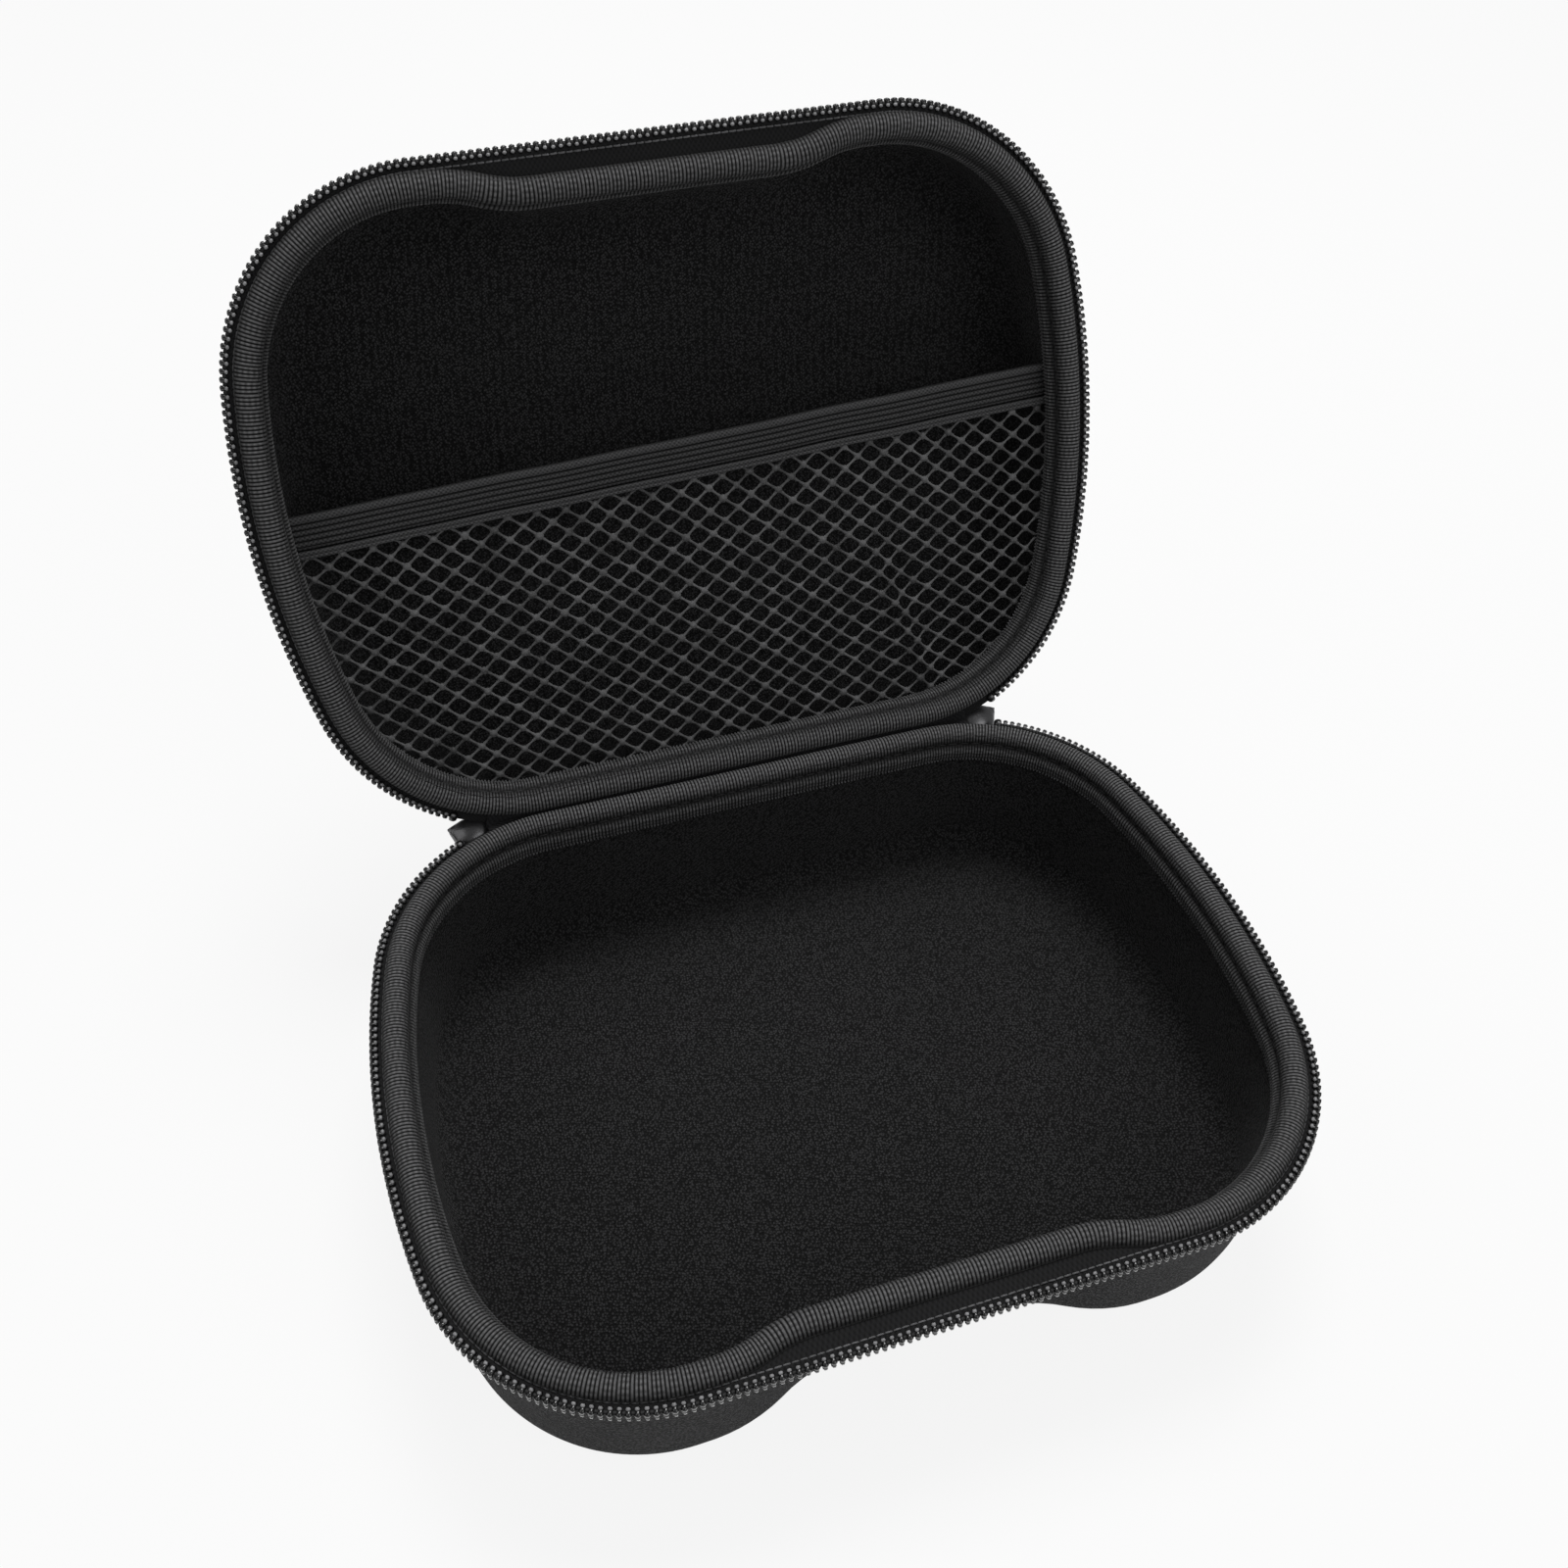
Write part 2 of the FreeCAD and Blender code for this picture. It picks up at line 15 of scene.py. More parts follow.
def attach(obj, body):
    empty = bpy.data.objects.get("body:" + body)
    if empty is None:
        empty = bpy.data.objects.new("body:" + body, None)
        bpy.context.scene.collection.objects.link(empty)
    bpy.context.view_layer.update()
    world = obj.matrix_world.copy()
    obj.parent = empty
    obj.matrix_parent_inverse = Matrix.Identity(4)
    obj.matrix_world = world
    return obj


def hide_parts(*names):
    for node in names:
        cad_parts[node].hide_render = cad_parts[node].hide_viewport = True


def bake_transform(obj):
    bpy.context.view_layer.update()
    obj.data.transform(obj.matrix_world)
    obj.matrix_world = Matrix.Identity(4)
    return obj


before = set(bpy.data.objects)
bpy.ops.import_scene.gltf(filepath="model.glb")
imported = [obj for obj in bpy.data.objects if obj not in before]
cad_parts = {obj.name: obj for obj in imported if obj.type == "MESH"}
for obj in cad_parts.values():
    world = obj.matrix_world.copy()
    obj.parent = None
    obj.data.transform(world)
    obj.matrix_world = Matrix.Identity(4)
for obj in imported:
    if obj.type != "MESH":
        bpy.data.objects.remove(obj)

LOG = logging.getLogger("case")
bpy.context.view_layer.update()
MM = 0.001
CLOTH_UV = "cloth"
WHITE = (1.0, 1.0, 1.0, 1.0)


class Half(Enum):
    """The two halves of the case."""

    BASE = "base"
    LID = "lid"

    @property
    def body(self) -> str:
        """Name of the moving body that carries this half."""
        return "base_tray" if self is Half.BASE else "lid"


# Plan of the rim and the frame of the case, in millimetres


@dataclass
class Track:
    """Stations along the rim: where they are, which way is out, and how far along."""

    at: np.ndarray
    out: np.ndarray
    along: np.ndarray
    length: float

    def lifted(self, inset: np.ndarray | float, height: np.ndarray | float) -> np.ndarray:
        """Points inset from the rim plan at a height over the rim plane.

        Args:
            inset: distance inwards from the plan, one value or one for each station.
            height: height over the rim plane, one value or one for each station.

        Returns:
            One point for each station.
        """
        inset = np.broadcast_to(np.asarray(inset, float), self.along.shape)
        height = np.broadcast_to(np.asarray(height, float), self.along.shape)
        return np.column_stack([self.at - self.out * inset[:, None], height])


@dataclass(frozen=True)
class RimPlan:
    """Outline of the rim as lines and arcs; every other line of the case runs parallel to it."""

    back_half: float = 46.2
    back_corner_r: float = 42.0
    back_corner_turn: float = 76.0
    side_r: float = 176.6
    side_turn: float = 23.0
    front_corner_r: float = 42.0
    waist_depth: float = 3.4
    waist_foot_depth: float = 9.5
    waist_shoulder: float = 9.0
    foot_drop: float = 44.0
    waist_lobe_r: float = 36.0
    waist_hollow_r: float = 28.0
    waist_lead: float = 2.5
    zip_end_turn: float = 30.0

    @property
    def turned(self) -> tuple[float, float]:
        """Heading past the back corner and past the side, in radians."""
        return math.radians(self.back_corner_turn), math.radians(self.back_corner_turn + self.side_turn)

    @property
    def back_y(self) -> float:
        """Distance of the back edge from the middle of the plan."""
        one, two = self.turned
        back = self.back_corner_r * (1.0 - math.cos(one))
        side = self.side_r * (math.cos(one) - math.cos(two))
        return (back + side + self.front_corner_r * (math.cos(two) + 1.0)) / 2.0

    @property
    def front_half(self) -> float:
        """Half length of the straight front edge before the waist is cut into it."""
        one, two = self.turned
        x = self.back_half + self.back_corner_r * math.sin(one)
        x += self.side_r * (math.sin(two) - math.sin(one))
        return x - self.front_corner_r * math.sin(two)

    @property
    def zip_start(self) -> float:
        """Distance along the plan at which the zip begins."""
        return self.past_back(self.zip_end_turn)

    def past_back(self, turn: float) -> float:
        """Distance along the plan at a turn of some degrees into the back corner."""
        return self.back_half + self.back_corner_r * math.radians(turn)

    def waist_at(self, drop: float) -> float:
        """How far the waist is cut in at a drop below the rim plane."""
        lean = (self.waist_foot_depth - self.waist_depth) / (self.foot_drop - self.waist_shoulder)
        return self.waist_depth + lean * max(0.0, drop - self.waist_shoulder)

    def runs(self, waist: Optional[float] = None) -> list[tuple[float, float]]:
        """Length and curvature of each run round the whole plan.

        Args:
            waist: how far the front waist is cut in, the rim's own waist if left out.

        Returns:
            Pairs of length and curvature, clockwise from the back centre.
        """
        waist = self.waist_depth if waist is None else waist
        front_turn = 180.0 - self.back_corner_turn - self.side_turn
        half = [(self.back_half, 0.0)]
        for radius, turn in (
            (self.back_corner_r, self.back_corner_turn),
            (self.side_r, self.side_turn),
            (self.front_corner_r, front_turn),
        ):
            half.append((radius * math.radians(turn), 1.0 / radius))
        if waist:
            reach = self.waist_lobe_r + self.waist_hollow_r
            bend = math.acos(1.0 - waist / reach)
            half.append((self.waist_lead, 0.0))
            half.append((self.waist_lobe_r * bend, 1.0 / self.waist_lobe_r))
            half.append((self.waist_hollow_r * bend, -1.0 / self.waist_hollow_r))
            half.append((self.front_half - self.waist_lead - reach * math.sin(bend), 0.0))
        else:
            half.append((self.front_half, 0.0))
        return half + half[::-1]

    def length(self, waist: Optional[float] = None) -> float:
        """Whole length round the plan."""
        return sum(run[0] for run in self.runs(waist))

    def walk(self, along: np.ndarray, waist: Optional[float] = None) -> tuple[np.ndarray, np.ndarray]:
        """Places and outward directions at distances along the plan.

        Args:
            along: distances from the back centre, clockwise.
            waist: how far the front waist is cut in, the rim's own waist if left out.

        Returns:
            The points and the outward unit vectors.
        """
        at = np.zeros((len(along), 2))
        out = np.zeros((len(along), 2))
        here = np.array([0.0, self.back_y])
        heading = begun = 0.0
        for length, bend in self.runs(waist):
            pick = (along >= begun - 1e-9) & (along <= begun + length + 1e-9)
            step = np.append(along[pick] - begun, length)
            turned = heading + bend * step
            if bend:
                centre = here - np.array([math.sin(heading), math.cos(heading)]) / bend
                spots = centre + np.column_stack([np.sin(turned), np.cos(turned)]) / bend
            else:
                spots = here + step[:, None] * np.array([math.cos(heading), -math.sin(heading)])
            at[pick] = spots[:-1]
            out[pick] = np.column_stack([np.sin(turned), np.cos(turned)])[:-1]
            here, heading, begun = spots[-1], heading + bend * length, begun + length
        return at, out

    def track(self, count: int, waist: Optional[float] = None, start: float = 0.0) -> Track:
        """Evenly spaced stations round the plan.

        Args:
            count: number of stations.
            waist: how far the front waist is cut in, the rim's own waist if left out.
            start: distance from the back centre left out at each end, 0 for a closed loop.

        Returns:
            The stations as a track.
        """
        length = self.length(waist)
        along = np.linspace(start, length - start, count, endpoint=start != 0.0)
        return Track(*self.walk(along, waist), along, length)

    def lowered(self, track: Track, drop: float) -> Track:
        """The same stations on the line round the wall at a drop below the rim plane.

        Args:
            track: stations on the rim plan.
            drop: drop of the line below the rim plane.

        Returns:
            The stations, shifted to the deeper waist of that line.
        """
        waist = self.waist_at(drop)
        ends = [np.append(0.0, np.cumsum([run[0] for run in self.runs(cut)])) for cut in (None, waist)]
        return Track(*self.walk(np.interp(track.along, *ends), waist), track.along, track.length)


@dataclass(frozen=True)
class CaseFrame:
    """Sizes that all sub-assemblies share, and the place of each half in the row frame."""

    plan: RimPlan = RimPlan()
    base_depth: float = 44.0
    lid_depth: float = 30.0
    lid_open: float = 115.0
    hinge_inset: float = 0.8
    wall_inset: float = 0.8
    draft: float = math.tan(math.radians(3.0))
    fabric: float = 0.6
    foam: float = 2.6
    lining: float = 0.7
    floor_pad: float = 2.4

    @property
    def hinge_y(self) -> float:
        """Distance of the hinge line from the middle of the plan."""
        return self.plan.back_y - self.hinge_inset

    @property
    def layers(self) -> float:
        """Thickness of the wall from the outer skin to the face of the lining."""
        return self.fabric + self.foam + self.lining

    def wall(self, layer: float, drop: float) -> float:
        """Inset of a wall face at a drop below the rim plane."""
        return self.wall_inset + layer + drop * self.draft

    def seat(self, points: np.ndarray, half: Half) -> np.ndarray:
        """Points of a half, made rim down in its own frame, set in the row frame.

        Args:
            points: points in millimetres with the rim plane at height 0.
            half: the half that they belong to.

        Returns:
            The same points where the half stands.
        """
        x, y, z = points[:, 0], points[:, 1], points[:, 2]
        if half is Half.BASE:
            return np.column_stack([x, y, z + self.base_depth])
        turn = math.radians(self.lid_open)
        back, rise = y - self.hinge_y, -z
        new_y = self.hinge_y + back * math.cos(turn) + rise * math.sin(turn)
        new_z = self.base_depth - back * math.sin(turn) + rise * math.cos(turn)
        return np.column_stack([x, new_y, new_z])


CASE = CaseFrame()


# Meshes


def soft_wave(points: np.ndarray, size: float, seed: int) -> np.ndarray:
    """Gentle uneven field for hand-laid cloth, about -1 to 1.

    Args:
        points: points in millimetres.
        size: usual distance between two humps, in millimetres.
        seed: fixed seed of the directions.

    Returns:
        One value for each point.
    """
    dice = np.random.RandomState(seed)
    total = np.zeros(len(points))
    for _ in range(7):
        way = dice.normal(size=3)
        way *= 2.0 * math.pi / (size * dice.uniform(0.7, 1.8)) / np.linalg.norm(way)
        total += np.sin(points @ way + dice.uniform(0.0, 6.28))
    return total / 3.2


def rows_normal(rows: np.ndarray, closed: bool) -> np.ndarray:
    """Unit normals of a grid of points by the cross product of its two directions.

    Args:
        rows: grid of points.
        closed: whether the last station joins the first.

    Returns:
        One normal for each point.
    """
    lengthways = np.roll(rows, -1, 0) - np.roll(rows, 1, 0) if closed else np.gradient(rows, axis=0)
    normal = np.cross(lengthways, np.gradient(rows, axis=1))
    return normal / np.maximum(np.linalg.norm(normal, axis=2, keepdims=True), 1e-9)


def run_length(points: np.ndarray) -> np.ndarray:
    """Distance of each point along its line."""
    return np.append(0.0, np.cumsum(np.linalg.norm(np.diff(points, axis=0), axis=1)))


def put(name: str, data: bpy.types.ID) -> bpy.types.Object:
    """Sets new data in the scene.

    Args:
        name: name of the object.
        data: mesh, lamp or camera.

    Returns:
        The object that carries it.
    """
    obj = bpy.data.objects.new(name, data)
    bpy.context.scene.collection.objects.link(obj)
    return obj


@dataclass
class Draft:
    """A mesh under way: points in millimetres, faces, cloth coordinates and marks on points."""

    points: list[np.ndarray] = field(default_factory=list)
    faces: list[list[int]] = field(default_factory=list)
    cloth: list[tuple[float, float]] = field(default_factory=list)
    marks: dict[str, list[np.ndarray]] = field(default_factory=dict)
    count: int = 0

    def add_points(self, points: np.ndarray, **marks: np.ndarray) -> int:
        """Adds points.

        Args:
            points: the points.
            marks: values for each point, by name.

        Returns:
            The number of the first one.
        """
        first = self.count
        self.points.append(points)
        self.count += len(points)
        for name, values in marks.items():
            self.marks.setdefault(name, []).append(np.asarray(values, float).reshape(-1))
        return first

    def add_face(self, corners: Sequence[int], cloth: Optional[Sequence[tuple[float, float]]] = None) -> None:
        """Adds one face, with cloth coordinates of its corners or a single dot of cloth."""
        self.faces.append(list(corners))
        self.cloth.extend(cloth if cloth is not None else [(0.0, 0.0)] * len(corners))

    def add_grid(
        self,
        rows: np.ndarray,
        u: np.ndarray,
        v: np.ndarray,
        wrap_rows: bool = False,
        wrap_cols: bool = False,
        planar: range = range(0),
        **marks: np.ndarray,
    ) -> int:
        """Adds a sheet of quads.

        Args:
            rows: grid of points, stations by profile points.
            u: cloth coordinate of each station, one more than the stations if they wrap.
            v: cloth coordinate of each profile point, one more if they wrap.
            wrap_rows: whether the last station joins the first.
            wrap_cols: whether the last profile point joins the first.
            planar: profile steps at which the cloth lies flat and is cut from above.
            marks: values for each point, by name.

        Returns:
            The number of the first point.
        """
        n, m = rows.shape[:2]
        first = self.add_points(rows.reshape(-1, 3), **marks)
        for i in range(n if wrap_rows else n - 1):
            for j in range(m if wrap_cols else m - 1):
                ahead, beside = (i + 1) % n, (j + 1) % m
                corners = ((i, j), (i, beside), (ahead, beside), (ahead, j))
                cloth = ((u[i], v[j]), (u[i], v[j + 1]), (u[i + 1], v[j + 1]), (u[i + 1], v[j]))
                if j in planar:
                    cloth = [tuple(rows[r, c, :2] * MM) for r, c in corners]
                self.add_face([first + r * m + c for r, c in corners], cloth)
        return first

    def add_loft(self, rows: np.ndarray, u: np.ndarray, v: np.ndarray, **marks: np.ndarray) -> None:
        """Adds a closed skin round a row of sections, with a face over each end.

        Args:
            rows: grid of points, stations by the points round a section.
            u: cloth coordinate of each station.
            v: cloth coordinate of each point of the section, and one more.
            marks: values for each point, by name.
        """
        first = self.add_grid(rows, u, v, wrap_cols=True, **marks)
        n, m = rows.shape[:2]
        self.add_face(range(first, first + m)[::-1])
        self.add_face(range(first + (n - 1) * m, first + n * m))

    def add_tube(self, line: np.ndarray, radii: np.ndarray, sides: int, flat: float = 1.0) -> None:
        """Adds a round or flattened tube with closed ends.

        Args:
            line: points of the middle line.
            radii: radius at each point.
            sides: number of sides.
            flat: height of the section over its width.
        """
        tangents = np.gradient(line, axis=0)
        tangents /= np.linalg.norm(tangents, axis=1, keepdims=True)
        up = np.array([0.0, 0.0, 1.0]) if abs(tangents[0][2]) < 0.9 else np.array([1.0, 0.0, 0.0])
        angles = np.arange(sides) * 2.0 * math.pi / sides
        rows = np.zeros((len(line), sides, 3))
        for k, way in enumerate(tangents):
            side = np.cross(way, up)
            side /= np.linalg.norm(side)
            up = np.cross(side, way)
            ring = np.cos(angles)[:, None] * side + flat * np.sin(angles)[:, None] * up
            rows[k] = line[k] + radii[k] * ring
        girth = 2.0 * math.pi * float(np.mean(radii)) * MM
        self.add_loft(rows, run_length(line) * MM, np.linspace(0.0, girth, sides + 1))

    def build(self, name: str) -> bpy.types.Object:
        """Makes the object, in metres, in the frame in which it was drafted.

        Args:
            name: name of the object.

        Returns:
            The object.
        """
        mesh = bpy.data.meshes.new(name)
        mesh.from_pydata((np.concatenate(self.points) * MM).tolist(), [], self.faces)
        layer = mesh.uv_layers.new(name=CLOTH_UV)
        layer.data.foreach_set("uv", np.asarray(self.cloth, np.float32).reshape(-1))
        for mark, values in self.marks.items():
            mark_points(mesh, mark, np.concatenate(values))
        mesh.polygons.foreach_set("use_smooth", np.ones(len(mesh.polygons), bool))
        mesh.update()
        return put(name, mesh)


def mark_points(mesh: bpy.types.Mesh, name: str, values: np.ndarray) -> None:
    """Stores a value on each point under a name that trees and materials can read."""
    mesh.attributes.new(name, "FLOAT", "POINT").data.foreach_set("value", np.asarray(values, np.float32))


def mesh_points(mesh: bpy.types.Mesh) -> np.ndarray:
    """All points of a mesh.

    Args:
        mesh: the mesh.

    Returns:
        One row for each point, in metres.
    """
    flat = np.zeros(len(mesh.vertices) * 3, np.float32)
    mesh.vertices.foreach_get("co", flat)
    return flat.reshape(-1, 3).astype(float)


def face_outwards(mesh: bpy.types.Mesh) -> None:
    """Turns the faces of a closed mesh to the outside, judged by its signed volume.

    Args:
        mesh: the mesh.
    """
    mesh.calc_loop_triangles()
    corners = np.zeros(len(mesh.loop_triangles) * 3, np.int32)
    mesh.loop_triangles.foreach_get("vertices", corners)
    a, b, c = (mesh_points(mesh)[corners.reshape(-1, 3)[:, k]] for k in range(3))
    if float((a * np.cross(b, c)).sum()) < 0.0:
        mesh.flip_normals()


def agree_normals(mesh: bpy.types.Mesh) -> None:
    """Makes all faces of a closed mesh agree with their neighbours.

    Args:
        mesh: the mesh.
    """
    work = bmesh.new()
    work.from_mesh(mesh)
    bmesh.ops.recalc_face_normals(work, faces=work.faces)
    work.to_mesh(mesh)
    work.free()


def set_in_half(mesh: bpy.types.Mesh, half: Half) -> None:
    """Moves a mesh made in its half's own frame to where the half stands.

    Args:
        mesh: the mesh.
        half: its half.
    """
    points = CASE.seat(mesh_points(mesh) / MM, half) * MM
    mesh.vertices.foreach_set("co", points.astype(np.float32).reshape(-1))
    mesh.update()
    face_outwards(mesh)


def dress(obj: bpy.types.Object, material: bpy.types.Material) -> None:
    """Gives a piece its only material."""
    obj.data.materials.clear()
    obj.data.materials.append(material)


def hand_over(obj: bpy.types.Object, body: str, slot: str, *nodes: str) -> None:
    """Lets a finished piece ride on its body and stand for its solids.

    Args:
        obj: the piece.
        body: the body that carries it.
        slot: its material slot, not used.
        nodes: the solids that it stands for.
    """
    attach(obj, body)
    if nodes:
        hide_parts(*nodes)
    LOG.info("%s: %d faces on %s", obj.name, len(obj.data.polygons), body)


def finish_piece(
    obj: bpy.types.Object, half: Half, material: bpy.types.Material, slot: str, *nodes: str, agree: bool = True
) -> None:
    """Sets a piece where its half stands, dresses it and hands it over.

    Args:
        obj: the piece in its half's own frame.
        half: the half that carries it.
        material: its finish.
        slot: its material slot.
        nodes: the solids that it stands for.
        agree: whether its faces are first made to agree.
    """
    if agree:
        agree_normals(obj.data)
    set_in_half(obj.data, half)
    dress(obj, material)
    hand_over(obj, half.body, slot, *nodes)


# Node trees


class Bench:
    """Short hand for wiring one node tree."""

    def __init__(self, tree: bpy.types.NodeTree) -> None:
        """Keeps the tree to be wired."""
        self.tree = tree

    def feed(self, socket: bpy.types.NodeSocket, value: object) -> None:
        """Links a socket to a source, or sets it to a plain value.

        Args:
            socket: the socket.
            value: an output, a node that stands for its first output, or a plain value.
        """
        source = value.outputs[0] if isinstance(value, bpy.types.Node) else value
        if isinstance(source, bpy.types.NodeSocket):
            self.tree.links.new(source, socket)
        elif source is not None:
            socket.default_value = source

    def set(self, node: bpy.types.Node, inputs: dict[str | int, object]) -> None:
        """Feeds inputs of a node by name or number."""
        for key, value in inputs.items():
            self.feed(node.inputs[key], value)

    def add(
        self, kind: str, inputs: Optional[dict[str | int, object]] = None, **settings: object
    ) -> bpy.types.Node:
        """Adds a node.

        Args:
            kind: type of the node.
            inputs: what feeds its inputs, by name or number.
            settings: its properties.

        Returns:
            The node.
        """
        node = self.tree.nodes.new(kind)
        for name, value in settings.items():
            setattr(node, name, value)
        self.set(node, inputs or {})
        return node

    def math(self, operation: str, a: object, b: object = None, clamp: bool = False) -> bpy.types.NodeSocket:
        """Result of one Math node."""
        return self.add("ShaderNodeMath", {0: a, 1: b}, operation=operation, use_clamp=clamp).outputs[0]

    def times(self, a: object, b: object) -> bpy.types.NodeSocket:
        """Product of two values."""
        return self.math("MULTIPLY", a, b)

    def plus(self, a: object, b: object) -> bpy.types.NodeSocket:
        """Sum of two values."""
        return self.math("ADD", a, b)

    def scaled(self, vector: object, scale: object) -> bpy.types.NodeSocket:
        """A vector times a value."""
        return self.add("ShaderNodeVectorMath", {0: vector, "Scale": scale}, operation="SCALE").outputs[0]

    def span(
        self, value: object, low: float, high: float, start: float = 0.0, end: float = 1.0
    ) -> bpy.types.NodeSocket:
        """A value from start to end spread from low to high."""
        spread = {0: value, 1: start, 2: end, 3: low, 4: high}
        return self.add("ShaderNodeMapRange", spread, clamp=True).outputs[0]


def linear(code: str) -> tuple[float, float, float, float]:
    """Linear colour of a six-figure screen colour.

    Args:
        code: two hexadecimal figures each for red, green and blue.

    Returns:
        Red, green, blue and a full alpha.
    """
    parts = [int(code[k : k + 2], 16) / 255.0 for k in (0, 2, 4)]
    made = [p / 12.92 if p <= 0.04045 else ((p + 0.055) / 1.055) ** 2.4 for p in parts]
    return (made[0], made[1], made[2], 1.0)


def open_group(
    kind: str, name: str, inputs: dict[str, object], outputs: dict[str, str]
) -> tuple[Bench, bpy.types.Node, bpy.types.Node]:
    """Starts a node group with named sockets.

    Args:
        kind: type of the tree.
        name: name of the group.
        inputs: first value of each input, or the type of one that has no value.
        outputs: type of each output.

    Returns:
        The bench and the group's input and output nodes.
    """
    tree = bpy.data.node_groups.new(name, kind)
    for label, value in inputs.items():
        typed = value if isinstance(value, str) else {float: "Float", int: "Int"}[type(value)]
        socket = tree.interface.new_socket(label, in_out="INPUT", socket_type="NodeSocket" + typed)
        if not isinstance(value, str):
            socket.default_value = value
    for label, typed in outputs.items():
        tree.interface.new_socket(label, in_out="OUTPUT", socket_type="NodeSocket" + typed)
    bench = Bench(tree)
    return bench, bench.add("NodeGroupInput"), bench.add("NodeGroupOutput")


class ShaderGroups:
    """Effects that several finishes share, each built once as a node group."""

    def __init__(self) -> None:
        """Builds the groups."""
        self.weave = self._weave()
        self.pebble = self._pebble()
        self.fibre = self._fibre()

    @staticmethod
    def _weave() -> bpy.types.NodeTree:
        """Crossing yarns: a lifted height and a shade for the shadow between the yarns.

        Returns:
            The group.
        """
        bench, given, made = open_group(
            "ShaderNodeTree",
            "crossing yarns",
            {"Vector": "Vector", "Warp": 0.0005, "Weft": 0.0005, "Twill": 0.0},
            {"Height": "Float", "Shade": "Float"},
        )
        split = bench.add("ShaderNodeSeparateXYZ", {0: given.outputs["Vector"]})
        across, down = (
            bench.times(bench.math("DIVIDE", split.outputs[k], given.outputs[yarn]), math.pi)
            for k, yarn in enumerate(("Warp", "Weft"))
        )
        checks = bench.times(bench.math("SINE", across), bench.math("SINE", down))
        slant = bench.times(bench.math("SINE", bench.plus(across, down)), 0.7)
        slant = bench.plus(slant, bench.times(checks, 0.3))
        mixed = bench.add("ShaderNodeMix", {0: given.outputs["Twill"], 2: checks, 3: slant}, data_type="FLOAT")
        height = bench.plus(bench.times(mixed, 0.5), 0.5)
        bench.set(made, {"Height": height, "Shade": bench.math("POWER", height, 0.7)})
        return bench.tree

    @staticmethod
    def _pebble() -> bpy.types.NodeTree:
        """Small rounded knit loops with painted shade in the gaps between them, the same from every side.

        Returns:
            The group.
        """
        bench, given, made = open_group(
            "ShaderNodeTree",
            "pebbled knit",
            {"Vector": "Vector", "Loop Size": 0.0005},
            {"Height": "Float", "Shade": "Float"},
        )
        turned = bench.add(
            "ShaderNodeVectorRotate",
            {"Vector": given.outputs["Vector"], "Rotation": (0.62, 0.47, 0.33)},
            rotation_type="EULER_XYZ",
        )
        scale = bench.math("DIVIDE", 1.0, given.outputs["Loop Size"])
        cells = bench.add(
            "ShaderNodeTexVoronoi",
            {"Vector": turned, "Scale": scale, "Randomness": 0.72},
            voronoi_dimensions="3D",
            feature="F1",
        )
        fall = bench.math("POWER", bench.times(cells.outputs["Distance"], 1.35), 2.0)
        dome = bench.math("SUBTRACT", 1.0, fall, clamp=True)
        # Painted shade: the Shade output falls off steeply from the top of each loop into the gaps between
        # loops.
        bench.set(made, {"Height": dome, "Shade": bench.math("POWER", dome, 2.8)})
        return bench.tree

    @staticmethod
    def _fibre() -> bpy.types.NodeTree:
        """Loose fibre and uneven dye: fine fuzz and broad patches, both 0 to 1.

        Returns:
            The group.
        """
        bench, given, made = open_group(
            "ShaderNodeTree",
            "fibre and dye",
            {"Vector": "Vector", "Fuzz Size": 0.00035, "Patch Size": 0.03},
            {"Fuzz": "Float", "Patch": "Float"},
        )
        for label, detail, rough in (("Fuzz", 3.0, 0.6), ("Patch", 2.0, 0.5)):
            scale = bench.math("DIVIDE", 1.0, given.outputs[f"{label} Size"])
            noise = bench.add(
                "ShaderNodeTexNoise",
                {"Vector": given.outputs["Vector"], "Scale": scale, "Detail": detail, "Roughness": rough},
                noise_dimensions="3D",
            )
            bench.feed(made.inputs[label], bench.span(noise, 0.0, 1.0, 0.3, 0.7))
        return bench.tree


GROUPS = ShaderGroups()


class Paint(Bench):
    """A material under way: its shader, the place on the piece, loose fuzz and broad patches."""

    def __init__(self, name: str) -> None:
        """Starts a material of that name with its shader."""
        self.material = bpy.data.materials.new(name)
        self.material.use_nodes = True
        super().__init__(self.material.node_tree)
        self.shader = self.tree.nodes["Principled BSDF"]

    def add_fibre(self, fuzz_size: float, patch_size: float) -> tuple[bpy.types.NodeSocket, ...]:
        """Adds the fibre of the finish.

        Args:
            fuzz_size: size of the fine fuzz in metres.
            patch_size: size of the broad patches in metres.

        Returns:
            The place on the piece, the fuzz and the patches.
        """
        place = self.add("ShaderNodeTexCoord").outputs["Object"]
        sizes = {"Vector": place, "Fuzz Size": fuzz_size, "Patch Size": patch_size}
        fibre = self.add("ShaderNodeGroup", sizes, node_tree=GROUPS.fibre)
        return place, fibre.outputs["Fuzz"], fibre.outputs["Patch"]

    def finish(
        self, tones: tuple[str, str], shade: object, lift: object, bump: float, inputs: dict[str, object]
    ) -> bpy.types.Material:
        """Gives the shader its colour, its bump and its other inputs.

        Args:
            tones: dark and light screen colour.
            shade: how far towards the light tone, 0 to 1.
            lift: height of the surface, about 0 to 1.
            bump: what a lift of 1 stands for, in millimetres.
            inputs: the other inputs of the shader.

        Returns:
            The material.
        """
        colours = {0: shade, 6: linear(tones[0]), 7: linear(tones[1])}
        colour = self.add("ShaderNodeMix", colours, data_type="RGBA").outputs[2]
        relief = self.add("ShaderNodeBump", {"Strength": 1.0, "Distance": bump * MM, "Height": lift})
        self.set(self.shader, {"Base Color": colour, "Normal": relief, **inputs})
        return self.material


